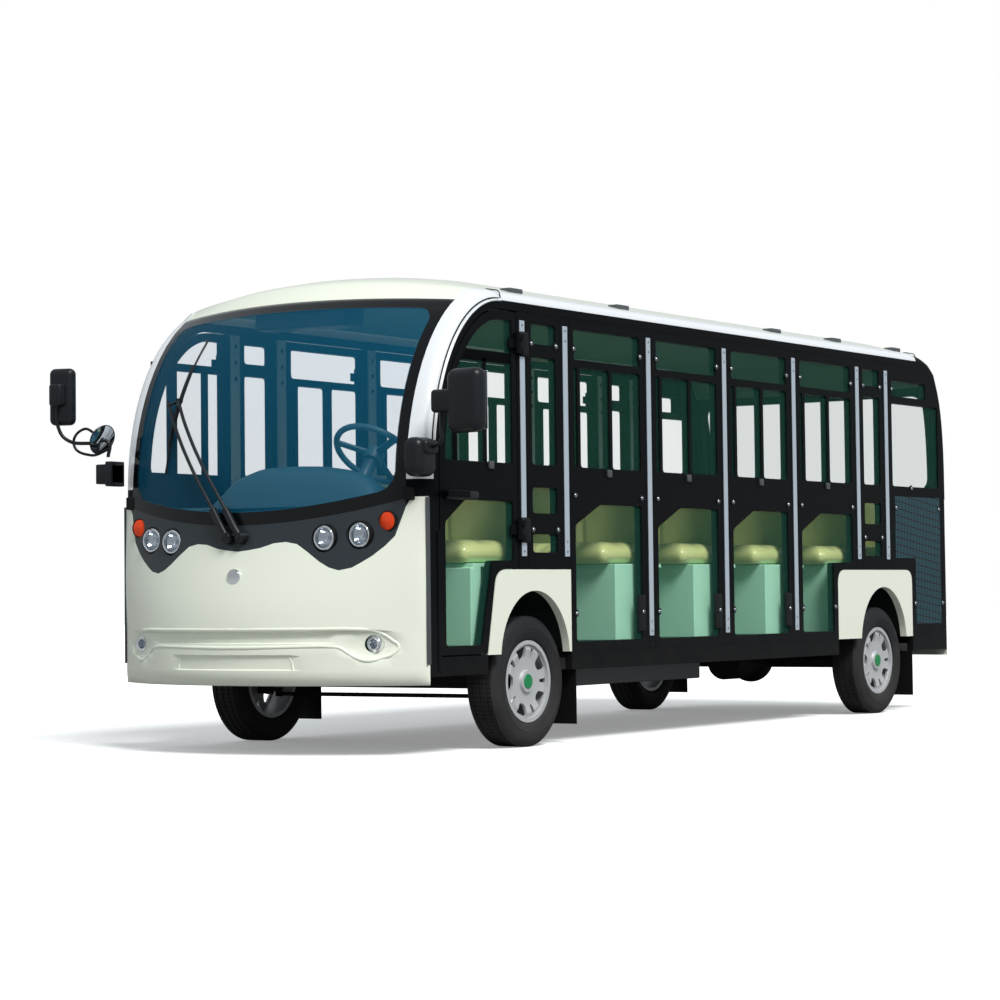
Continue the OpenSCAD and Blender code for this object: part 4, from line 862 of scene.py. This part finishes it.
class BUS_OT_wheels(BusOperator, bpy.types.Operator):
    """Make the tyres with their tread, and dress the wheels"""
    bl_idname = "bus.wheels"
    bl_label = "Wheels"

    def execute(self, context):
        for corner in WHEELS:
            self.tyre(corner)
            dress(f"rim_{corner}", "silver_wheel", angle=28.0)
            self.hub(corner)
        return {"FINISHED"}

    def tyre(self, corner):
        trim = self.trim
        low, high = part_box(f"tyre_{corner}")
        centre = (low + high) / 2
        r, w = (high.z - low.z) / 2, (high.y - low.y) / 2
        deep = r - trim.tread_depth
        bead = r - 0.112
        wall = [(-w + 0.022, bead + 0.001), (-w + 0.010, bead + 0.008), (-w + 0.004, bead + 0.020),
                (-w + 0.001, bead + 0.040), (-w, bead + 0.046), (-w + 0.002, bead + 0.049), (-w, bead + 0.052),
                (-w + 0.004, bead + 0.078), (-w + 0.008, r - 0.024)]
        tread = [(-w + 0.017, deep - 0.005)]
        for left, right in ((-w + 0.024, -0.040), (-0.034, -0.003), (0.003, 0.034), (0.040, w - 0.024)):
            tread += [(left, deep), (right, deep)]
        tread += [(w - 0.017, deep - 0.005)]
        profile = wall + tread + [(-a, b) for a, b in reversed(wall)] + [wall[0]]
        bm = bmesh.new()
        made = turned(bm, profile, centre, (0, 1, 0), steps=trim.tread_blocks)
        blocks = [f for f in made if self.spread(f) > 0.010 and self.reach(f, centre) > deep - 0.006]
        bmesh.ops.inset_individual(bm, faces=blocks, thickness=0.0020, depth=trim.tread_depth * 0.92)
        settle(bm, f"tyre_{corner}_tread", f"wheel_{corner}", ["tyre"], stands_for=(f"tyre_{corner}",),
               angle=30.0)

    def spread(self, face):
        ys = [v.co.y for v in face.verts]
        return max(ys) - min(ys)

    def reach(self, face, centre):
        out = face.calc_center_median() - centre
        return math.hypot(out.x, out.z)

    def hub(self, corner):
        """Plain coloured disc in the middle of the wheel."""
        low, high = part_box(f"rim_{corner}")
        way = 1 if low.y > 0 else -1
        face = high.y if way > 0 else low.y
        centre = Vector(((low.x + high.x) / 2, face, (low.z + high.z) / 2))
        bm = bmesh.new()
        turned(bm, [(-0.012, 0.0), (-0.012, 0.034), (0.000, 0.034), (0.002, 0.032), (0.0028, 0.0)], centre,
               (0, way, 0))
        settle(bm, f"hub_disc_{corner}", f"wheel_{corner}", ["hub_disc"])


class BUS_OT_mirrors(BusOperator, bpy.types.Operator):
    """Make the outside mirrors"""
    bl_idname = "bus.mirrors"
    bl_label = "Mirrors"
    ARM_R = 0.0085
    BRACE_R = 0.0065

    def execute(self, context):
        body, glass = bmesh.new(), bmesh.new()
        self.near_mirror(body, glass)
        self.far_mirror(body, glass)
        settle(body, "mirror_bodies", BODY, ["black_plastic"],
               stands_for=("side_mirrors",), angle=50.0)
        settle(glass, "mirror_glasses", BODY, ["mirror_face"])
        return {"FINISHED"}

    def head(self, body, glass, centre, size, yaw):
        """A rounded head with its glass at the rear, turned about the upright."""
        centre, half = Vector(centre), Vector(size) / 2
        turn = Matrix.Rotation(math.radians(yaw), 3, "Z")
        for bm, low, high, edge in ((body, -half, half, min(size) * 0.46),
                                    (glass, Vector((-half.x - 0.001, 0.014 - half.y, 0.014 - half.z)),
                                     Vector((-half.x + 0.004, half.y - 0.014, half.z - 0.014)), 0.002)):
            before = set(bm.verts)
            brick(bm, low, high, edge, 6)
            made = [v for v in bm.verts if v not in before]
            bmesh.ops.rotate(bm, verts=made, cent=(0, 0, 0), matrix=turn)
            bmesh.ops.translate(bm, verts=made, vec=centre)

    def near_mirror(self, body, glass):
        """Left: a wide head on a short arm over a rounded base at the arch's foot."""
        high = [box[1] for box in islands("side_mirrors") if box[1].y > 0][0]
        y, z = high.y - 0.095, high.z - 0.140
        x = high.x - 0.045
        self.head(body, glass, (x, y, z), (0.088, 0.188, 0.278), -8.0)
        brick(body, (x - 0.030, y - 0.172, z - 0.048), (x + 0.034, y - 0.060, z + 0.052), 0.018, 5)
        brick(body, (x - 0.085, WALL - 0.050, z - 0.318), (x + 0.062, WALL + 0.050, z - 0.148), 0.040, 6)
        brick(body, (x - 0.070, WALL + 0.020, z - 0.222), (x + 0.030, WALL + 0.066, z - 0.160), 0.018, 4)
        knee = Vector((x, y - 0.135, z - 0.165))
        tube(body, [(x, y - 0.132, z - 0.030), knee + Vector((0, 0, 0.05)), knee,
                    (x - 0.020, WALL + 0.052, z - 0.196)], self.ARM_R)

    def far_mirror(self, body, glass):
        """Right: a narrow head on a bent arm, and a round mirror that looks down on the corner."""
        low, high = [box for box in islands("side_mirrors") if box[1].y < 0][0]
        y, z = low.y + 0.095, high.z - 0.132
        x = high.x - 0.065
        self.head(body, glass, (x, y, z), (0.062, 0.124, 0.268), 20.0)
        brick(body, (x + 0.014, y - 0.036, z - 0.045), (x + 0.064, y + 0.036, z + 0.060), 0.014, 4)
        foot = Vector((x - 0.065, -WALL - 0.036, z - 0.288))
        post = foot + Vector((0, 0, 0.070))
        tube(body, [(x + 0.040, y, z - 0.03), (x + 0.030, y - 0.004, z - 0.140),
                    (x + 0.012, y + 0.030, z - 0.200), (x - 0.030, y + 0.145, z - 0.222), post, foot], self.ARM_R)
        tube(body, [foot + Vector((0, 0, 0.035)), (x - 0.055, y + 0.120, z - 0.275),
                    (x - 0.035, y + 0.035, z - 0.222), (x - 0.045, y + 0.085, z - 0.153),
                    (x - 0.055, y + 0.160, z - 0.180)], self.BRACE_R)
        brick(body, (foot.x - 0.045, -WALL - 0.080, foot.z - 0.126),
              (foot.x + 0.040, -WALL + 0.020, foot.z - 0.034), 0.006, 3)
        brick(body, (foot.x - 0.052, -WALL - 0.014, foot.z - 0.138),
              (foot.x + 0.050, -WALL + 0.020, foot.z - 0.022), 0.006, 3)
        centre, axis = Vector((x - 0.060, y + 0.190, z - 0.205)), (0.10, 0.90, -0.40)
        turned(body, [(-0.034, 0.0), (-0.030, 0.030), (-0.012, 0.066), (0.000, 0.074), (0.003, 0.072),
                      (0.000, 0.069)], centre, axis)
        turned(glass, [(0.000, 0.070), (0.006, 0.045), (0.009, 0.020), (0.010, 0.0)], centre, axis)


class BUS_OT_wipers(BusOperator, bpy.types.Operator):
    """Make the twin wiper arm and its blade"""
    bl_idname = "bus.wipers"
    bl_label = "Wipers"
    PIVOT = (0.02, 0.965)
    ARM_REACH = (-0.47, 0.635)
    ARM_GAP = 0.075
    BLADE_FOOT = (-0.497, 1.265)
    BLADE_REACH = (0.087, 0.625)

    def execute(self, context):
        find = face_finder("windshield", "cowl_mask", "front_cowl")
        bm = bmesh.new()
        for shift in (0.0, -self.ARM_GAP):
            y, z = self.PIVOT[0] + shift, self.PIVOT[1]
            turned(bm, [(-0.010, 0.0), (-0.010, 0.031), (0.020, 0.029), (0.038, 0.020), (0.041, 0.0)],
                   find(y, z), (1, 0, 0), 24)
            path = [find(y + self.ARM_REACH[0] * t, z + self.ARM_REACH[1] * t, 0.030 if t else 0.024)
                    for t in (0.0, 0.08, 0.2, 0.5, 0.8, 1.0)]
            tube(bm, path, 0.008)
            tube(bm, path[:3], 0.018)
        (y, z), (across, up) = self.BLADE_FOOT, self.BLADE_REACH
        blade = [find(y + across * t, z + up * t, 0.006) for t in (0.0, 0.2, 0.4, 0.6, 0.8, 1.0)]
        tube(bm, blade, 0.005)
        tube(bm, [p + Vector((0.012, 0, 0)) for p in blade[1:5]], 0.006)
        tube(bm, [find(-0.45, 1.60, 0.010), find(-0.45, 1.60, 0.034)], 0.012, rounded=False)
        tube(bm, [find(-0.525, 1.58, 0.030), find(-0.44, 1.60, 0.030)], 0.007, rounded=False)
        settle(bm, "wiper_set", BODY, ["black_plastic"], stands_for=("wipers",),
               angle=50.0)
        return {"FINISHED"}


class BUS_OT_seats(BusOperator, bpy.types.Operator):
    """Make the padded cushions and backs, and dress the seat boxes"""
    bl_idname = "bus.seats"
    bl_label = "Seats"
    PAD_ROUND = 0.045
    SEAM_DEPTH = 0.016
    SEAM_WIDTH = 0.016
    PLACES = 4

    def execute(self, context):
        dress("seat_boxes", "mint_panel", edge=0.006)
        # The backs take the darkened vinyl, which is painted shade; the cushions take the plain vinyl.
        for node, axis, label in (("seat_cushions", "z", "seat_vinyl"), ("seat_backs", "x", "shaded_back_vinyl")):
            boxes = islands(node)
            first = boxes[0]
            pad = self.pad(first, axis)
            for number, box in enumerate(boxes, 1):
                bm = bmesh.new()
                bm.from_mesh(pad)
                bmesh.ops.translate(bm, verts=bm.verts, vec=box[0] - first[0])
                piece = settle(bm, f"{node}_pad_{number}", BODY, [label],
                               stands_for=(node,) if number == 1 else (), angle=180.0)
            bpy.data.meshes.remove(pad)
        return {"FINISHED"}

    def pad(self, box, axis):
        """A bench pad: a rounded block swollen by pressure, then sewn into four places."""
        trim = self.trim
        swell = trim.pad_swell
        low, high = box[0] + Vector((0.006, 0.008, 0.002)), box[1] - Vector((0.006, 0.008, 0.004))
        if axis == "z":
            high.z -= swell * 0.6
        else:
            high.x -= swell * 0.4
        bm = bmesh.new()
        brick(bm, low, high, self.PAD_ROUND, 5)
        mesh = bpy.data.meshes.new("pad")
        bm.to_mesh(mesh)
        bm.free()
        piece = bpy.data.objects.new("pad", mesh)
        context = bpy.context
        context.scene.collection.objects.link(piece)
        context.view_layer.objects.active = piece
        remesh = piece.modifiers.new("Remesh", "REMESH")
        remesh.mode = "VOXEL"
        remesh.voxel_size = trim.voxel
        self.apply(piece)
        start = [v.co.copy() for v in piece.data.vertices]
        cloth = piece.modifiers.new("Cloth", "CLOTH")
        cloth.settings.use_pressure = True
        cloth.settings.uniform_pressure_force = 4.0
        cloth.settings.effector_weights.gravity = 0.0
        for step in range(1, 21):
            context.scene.frame_set(step)
        self.apply(piece)
        context.scene.frame_set(1)
        span = box[1].y - box[0].y
        seams = [box[0].y + span * k / self.PLACES for k in range(1, self.PLACES)]
        for vert, rest in zip(piece.data.vertices, start):
            move = vert.co - rest
            if move.length > swell:
                move *= swell / move.length
            move.y *= 0.2
            place = rest + move
            gap = min(abs(place.y - s) for s in seams)
            sink = self.SEAM_DEPTH * math.exp(-(gap / self.SEAM_WIDTH) ** 2)
            if axis == "z":
                share = max(0.0, (place.z - low.z) / (high.z - low.z))
                place.z -= sink * share
                if rest.z < low.z + 0.004:
                    place.z = low.z
            else:
                share = max(0.0, (place.x - low.x) / (high.x - low.x))
                place.x -= sink * share
            vert.co = place
        smooth = piece.modifiers.new("Subdivision", "SUBSURF")
        smooth.levels = smooth.render_levels = 1
        self.apply(piece)
        context.scene.collection.objects.unlink(piece)
        bpy.data.objects.remove(piece)
        return mesh

    def apply(self, piece):
        """Puts the shape that the modifiers give into the mesh."""
        graph = bpy.context.evaluated_depsgraph_get()
        shape = bpy.data.meshes.new_from_object(piece.evaluated_get(graph))
        bm = bmesh.new()
        bm.from_mesh(shape)
        bm.to_mesh(piece.data)
        bm.free()
        bpy.data.meshes.remove(shape)
        piece.modifiers.clear()


class BUS_OT_cabin(BusOperator, bpy.types.Operator):
    """Dress the dashboard and the steering"""
    bl_idname = "bus.cabin"
    bl_label = "Cabin"

    def execute(self, context):
        dress("dashboard", "dash_plastic", edge=0.012)
        dress("steering_column", "dash_plastic", edge=0.002)
        dress("steering_wheel", "dash_plastic", angle=40.0)
        self.dash_hump()
        self.roof_box()
        paint_node("floor_deck", "floor_mat")
        paint_node("wheel_housings", "floor_mat")
        return {"FINISHED"}

    def dash_hump(self):
        """Swelling of the dash over the middle and in front of the driver."""
        low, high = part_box("dashboard")
        line = [(-0.33, 0.0), (-0.27, 0.06), (-0.21, 0.135), (-0.06, 0.182), (0.12, 0.187), (0.285, 0.181),
                (0.45, 0.157), (0.56, 0.110), (0.62, 0.045), (0.66, 0.0)]
        bm = bmesh.new()
        bmesh.ops.create_grid(bm, x_segments=12, y_segments=36, size=1.0)
        for vert in bm.verts:
            along, across = vert.co.x, (vert.co.y + 1.0) / 2
            y = line[0][0] + across * (line[-1][0] - line[0][0])
            near, far = next(pair for pair in zip(line, line[1:]) if y <= pair[1][0] + 0.000001)
            rise = near[1] + (far[1] - near[1]) * (y - near[0]) / (far[0] - near[0])
            vert.co = (low.x + 0.080 + 0.105 * along, y, high.z - 0.012 + rise * (1.0 - along ** 2) ** 0.55)
        inner = [v for v in bm.verts if not v.is_boundary]
        for _ in range(3):
            bmesh.ops.smooth_vert(bm, verts=inner, factor=0.5, use_axis_x=False, use_axis_y=False,
                                  use_axis_z=True)
        bmesh.ops.recalc_face_normals(bm, faces=bm.faces)
        bmesh.ops.solidify(bm, geom=list(bm.faces), thickness=0.005)
        settle(bm, "dash_hump", BODY, ["dash_plastic"], angle=60.0)

    def roof_box(self):
        """Dark case under the roof behind the windscreen."""
        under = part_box("roof_shell")[1].z
        bm = bmesh.new()
        brick(bm, (2.16, -0.29, under - 0.275), (2.32, 0.23, under - 0.165), 0.012, 3)
        settle(bm, "roof_box", BODY, ["black_plastic"])


class BUS_OT_underbody(BusOperator, bpy.types.Operator):
    """Dress the chassis, axles, springs and flaps"""
    bl_idname = "bus.underbody"
    bl_label = "Underbody"

    def execute(self, context):
        for node, label, edge in (
                ("chassis_frame", "black_steel", 0.003), ("battery_pack", "grey_steel", 0.008),
                ("front_axle", "cast_axle", 0.003), ("rear_axle", "cast_axle", 0.003),
                ("leaf_springs", "grey_steel", 0.0015), ("left_knuckle", "cast_axle", 0.0015),
                ("right_knuckle", "cast_axle", 0.0015), ("tie_rod", "cast_axle", 0.0015),
                ("mud_flaps", "black_rubber", 0.0015)):
            dress(node, label, edge=edge)
        return {"FINISHED"}


class BUS_OT_fasteners(BusOperator, bpy.types.Operator):
    """Make the bolts, screws, hinge pads, latches, window bars, nets and pillar covers"""
    bl_idname = "bus.fasteners"
    bl_label = "Fasteners"
    BOLT_OFF = 0.078
    HEAD_BOLT = 1.850
    WIDE_BAY_BOLT = 1.160
    NARROW_BAY_BOLT = 0.995
    LOW_BOLT = 0.607
    TALL_STRIP = 1.5
    LATCH_HALF = 0.018
    BAR_FOOT = 1.286
    COVER_DEPTH = 0.010

    def execute(self, context):
        bolts, screws, pads, latches = (bmesh.new() for _ in range(4))
        r = self.trim.screw_r
        strips = [box for box in islands("pillar_strips") if box[1].z > self.TALL_STRIP]
        pillars = sorted({round((low.x + high.x) / 2, 4) for low, high in strips})
        for low, high in strips:
            side = 1 if low.y > 0 else -1
            for z in (high.z - 0.022, high.z - 0.070, low.z + 0.070, low.z + 0.022):
                turned(screws, [(-0.002, 0.0), (-0.002, r), (0.0012, r * 0.8), (0.0016, 0.0)],
                       ((low.x + high.x) / 2, side * STRIP_FACE, z), (0, side, 0), 12)
        from_front = pillars[::-1]
        for x, z in self.bolt_places(from_front):
            self.bolt(bolts, pads, Vector((x, WALL, z)))
        for x in from_front[2:5]:
            brick(pads, (x + 0.050, WALL - 0.010, 0.512), (x + 0.120, WALL + 0.0025, 0.690), 0.030, 5)
        for left, right in zip(pillars[1:5], pillars[2:6]):
            self.latch(latches, (left + right) / 2, 1.270)
        settle(latches, "window_latches", BODY, ["grey_steel"])
        self.door_pieces()
        self.quarter_nets()
        self.inner_covers(pillars)
        front = from_front[0]
        for z in (1.841, 0.991):
            brick(pads, (front - 0.036, STRIP_FACE - 0.014, z - 0.058),
                  (front + 0.030, STRIP_FACE + 0.018, z + 0.058), 0.030, 6)
        settle(bolts, "dome_bolts", BODY, ["bolt_dome"])
        settle(screws, "strip_screws", BODY, ["grey_steel"])
        settle(pads, "bolt_pads", BODY, ["black_rubber"])
        return {"FINISHED"}

    def bolt_places(self, pillars):
        """Bolts either side of the pillars, low ones in wide bays only, and those of the rear quarter."""
        places = []
        for number, x in enumerate(pillars):
            for offset, wide in ((self.BOLT_OFF, number in (2, 3, 4, 5)),
                                 (-self.BOLT_OFF, number in (1, 2, 3, 4))):
                if number == 0 and offset > 0:
                    continue
                places.append((x + offset, self.HEAD_BOLT))
                if number == 6 and offset < 0:
                    continue
                places.append((x + offset, self.WIDE_BAY_BOLT if wide else self.NARROW_BAY_BOLT))
                if wide and number != 5:
                    places.append((x + offset, self.LOW_BOLT))
        quarter = pillars[-1]
        return places + [(quarter + 0.677, 0.610), (quarter - 0.112, 1.168), (quarter - 0.690, 1.170),
                         (quarter - 0.348, 0.619), (quarter - 0.722, 0.618), (quarter - 0.322, 1.284)]

    def bolt(self, bolts, pads, place):
        """A dome bolt on its rubber washer."""
        r = self.trim.bolt_r
        axis = (0, 1, 0)
        turned(pads, [(-0.003, 0.0), (-0.003, r * 1.7), (0.003, r * 1.6), (0.004, 0.0)], place, axis, 16)
        turned(bolts, [(0.002, 0.0), (0.002, r), (0.006, r * 0.94), (0.010, r * 0.60), (0.0115, 0.0)], place,
               axis, 16)

    def latch(self, bm, x, z):
        half = self.LATCH_HALF
        brick(bm, (x - half, WALL - 0.004, z - half), (x + half, WALL + 0.012, z + half), 0.004)

    def door_pieces(self):
        """Handle and latch of the driver's door, and the window bars of both cab doors."""
        body = NODES["driver_door_frame"]["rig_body"]
        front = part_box("driver_door_frame")[1].x
        grip, metal = bmesh.new(), bmesh.new()
        brick(grip, (front - 0.275, WALL - 0.004, 1.118), (front - 0.030, WALL + 0.022, 1.160), 0.010, 4)
        brick(grip, (front - 0.265, WALL + 0.016, 1.124), (front - 0.155, WALL + 0.030, 1.154), 0.007, 4)
        brick(metal, (front - 0.130, WALL + 0.016, 1.128), (front - 0.095, WALL + 0.024, 1.150), 0.003)
        self.latch(metal, 2.082, 1.280)
        for door, side, uprights, rail in (
                ("driver_door", 1, ((2.331, 2.374), (2.095, 2.131)), (1.742, 1.795)),
                ("codriver_door", -1, ((2.237, 2.288), (2.006, 2.032)), (1.785, 1.822))):
            bars = bmesh.new()
            near, far = sorted((side * (WALL - 0.034), side * (WALL - 0.006)))
            for rear, fore in uprights:
                brick(bars, (rear, near, self.BAR_FOOT), (fore, far, rail[0] + 0.020), 0.003)
            brick(bars, (1.900, near, rail[0]), (2.400, far, rail[1]), 0.003)
            settle(bars, door + "_window_bars", NODES[door + "_frame"]["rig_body"], ["black_steel"])
        settle(grip, "door_handle", body, ["black_plastic"])
        settle(metal, "door_latch", body, ["grey_steel"])

    def quarter_nets(self):
        """Opaque panes low in the rear quarters: a net on a dark ground that is painted shade of the cabin behind
        the glass.
        """
        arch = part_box("arch_panels")[0].x
        inner, outer = WALL - 0.003, WALL + 0.0012
        bm = bmesh.new()
        mirrored_brick(bm, (arch - 0.395, inner, 0.500), (arch - 0.050, outer, 1.235), 0.0008, 1)
        mirrored_brick(bm, (arch - 0.051, inner, 0.880), (arch + 0.210, outer, 1.235), 0.0008, 1)
        settle(bm, "quarter_nets", BODY, ["net_over_painted_shade"])

    def inner_covers(self, pillars):
        """Pale covers on the inside of the pillars, with their dark bolts."""
        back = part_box("seat_cushions")[1].y + 0.0195
        face = back - self.COVER_DEPTH
        covers, heads = bmesh.new(), bmesh.new()
        for x in pillars:
            mirrored_brick(covers, (x - 0.034, face, 0.90), (x + 0.034, back, 1.985), 0.003)
            for side in (-1, 1):
                for z in (1.93, 1.85, 1.77, 1.10):
                    turned(heads, [(-0.001, 0.0), (-0.001, 0.011), (0.004, 0.009), (0.006, 0.0)],
                           (x, side * face, z), (0, -side, 0), 12)
        settle(covers, "inner_pillar_covers", BODY, ["inner_cover"])
        settle(heads, "inner_cover_bolts", BODY, ["black_rubber"])


class BUS_OT_stage(BusOperator, bpy.types.Operator):
    """Set the floor, the light and the camera"""
    bl_idname = "bus.stage"
    bl_label = "Stage"
    SUN_WAY = Vector((-0.30, -0.58, -0.76))
    SUN_WIDTH = 22.0
    FLOOR_SEEN = (0.94, 0.94, 0.94)
    FLOOR_UNSEEN = (0.30, 0.30, 0.30)
    WHITE = (1.0, 1.0, 1.0)

    def execute(self, context):
        scene = context.scene
        settings = scene.bus_stage
        scene.view_settings.view_transform = "Standard"
        self.floor(settings)
        self.world(scene, settings)
        sun = bpy.data.objects.new("sun", bpy.data.lights.new("sun", "SUN"))
        sun.data.energy = settings.sun_light
        sun.data.angle = math.radians(self.SUN_WIDTH)
        sun.rotation_euler = self.SUN_WAY.to_track_quat("-Z", "Y").to_euler()
        scene.collection.objects.link(sun)
        self.camera(scene)
        return {"FINISHED"}

    def floor(self, settings):
        bm = bmesh.new()
        bmesh.ops.create_circle(bm, cap_ends=True, segments=96, radius=settings.floor_r)
        mesh = bpy.data.meshes.new("floor")
        bm.to_mesh(mesh)
        bm.free()
        material = bpy.data.materials.new("floor")
        material.use_nodes = True
        tree = material.node_tree
        shader = tree.nodes["Principled BSDF"].inputs
        shader["Roughness"].default_value = 1.0
        shader["Specular IOR Level"].default_value = 0.0
        shader["Emission Color"].default_value = (*self.WHITE, 1.0)
        seen = put(tree, "ShaderNodeLightPath").outputs["Is Camera Ray"]
        tree.links.new(maths(tree, "MULTIPLY", seen, settings.floor_glow), shader["Emission Strength"])
        tree.links.new(mixed(tree, seen, self.FLOOR_UNSEEN, self.FLOOR_SEEN), shader["Base Color"])
        mesh.materials.append(material)
        floor = bpy.data.objects.new("floor", mesh)
        floor.location.z = CAD_BOX[0][2]
        bpy.context.scene.collection.objects.link(floor)

    def world(self, scene, settings):
        """Soft light from above and below, white where the camera sees it."""
        world = bpy.data.worlds.new("surround")
        world.use_nodes = True
        tree = world.node_tree
        back = tree.nodes["Background"].inputs
        height = split_place(tree, put(tree, "ShaderNodeTexCoord").outputs["Generated"])["Z"]
        rise = ranged(tree, height, start=(-0.12, 0.10), shape="SMOOTHSTEP")
        around = mixed(tree, rise, settings.ground, settings.sky)
        ray = put(tree, "ShaderNodeLightPath").outputs
        seen = maths(tree, "MAXIMUM", ray["Is Camera Ray"], ray["Is Transmission Ray"])
        tree.links.new(mixed(tree, seen, around, self.WHITE), back["Color"])
        tree.links.new(ranged(tree, seen, end=(settings.world_light, 1.0)), back["Strength"])
        scene.world = world

    def camera(self, scene):
        """The photograph's viewpoint, fitted to the wheels, pillars and edges of the body."""
        yaw, pitch, roll = -2.55663, 0.04738, 0.01178
        ahead = Vector((math.cos(yaw) * math.cos(pitch), math.sin(yaw) * math.cos(pitch), math.sin(pitch)))
        right = ahead.cross(Vector((0, 0, 1))).normalized()
        down = ahead.cross(right)
        right, down = (math.cos(roll) * right + math.sin(roll) * down,
                       -math.sin(roll) * right + math.cos(roll) * down)
        data = bpy.data.cameras.new("camera")
        data.sensor_width = 36.0
        data.lens = 99.7
        data.shift_x = -0.00376
        data.shift_y = -0.03777
        data.clip_end = 500.0
        camera = bpy.data.objects.new("camera", data)
        turn = Matrix((right, -down, -ahead)).transposed()
        camera.matrix_world = Matrix.Translation((12.3885, 7.7612, 0.7032)) @ turn.to_4x4()
        scene.collection.objects.link(camera)
        scene.camera = camera


class BUS_PT_dressing(bpy.types.Panel):
    """Lists the steps that dress the bus"""
    bl_idname = "BUS_PT_dressing"
    bl_label = "Bus dressing"
    bl_space_type = "VIEW_3D"
    bl_region_type = "UI"
    bl_category = "Bus"

    def draw(self, context):
        for group in (context.scene.bus_paint, context.scene.bus_trim, context.scene.bus_stage):
            box = self.layout.box()
            for name in group.__annotations__:
                box.prop(group, name)
        for step in STEPS:
            self.layout.operator(step.bl_idname)


STEPS = (BUS_OT_finishes, BUS_OT_painted_shell, BUS_OT_screens, BUS_OT_silver_trim, BUS_OT_black_frames,
         BUS_OT_side_glass, BUS_OT_lamps, BUS_OT_wheels, BUS_OT_mirrors, BUS_OT_wipers, BUS_OT_seats,
         BUS_OT_cabin, BUS_OT_underbody, BUS_OT_fasteners, BUS_OT_stage)
CLASSES = (BusPaint, BusTrim, BusStage) + STEPS + (BUS_PT_dressing,)


def register():
    for cls in CLASSES:
        bpy.utils.register_class(cls)
    bpy.types.Scene.bus_paint = PointerProperty(type=BusPaint)
    bpy.types.Scene.bus_trim = PointerProperty(type=BusTrim)
    bpy.types.Scene.bus_stage = PointerProperty(type=BusStage)


def unregister():
    for name in ("bus_paint", "bus_trim", "bus_stage"):
        delattr(bpy.types.Scene, name)
    for cls in reversed(CLASSES):
        bpy.utils.unregister_class(cls)


def main():
    register()
    for step in STEPS:
        family, name = step.bl_idname.split(".")
        getattr(getattr(bpy.ops, family), name)()
    bpy.context.view_layer.update()
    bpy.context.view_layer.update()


if __name__ == "__main__":
    main()
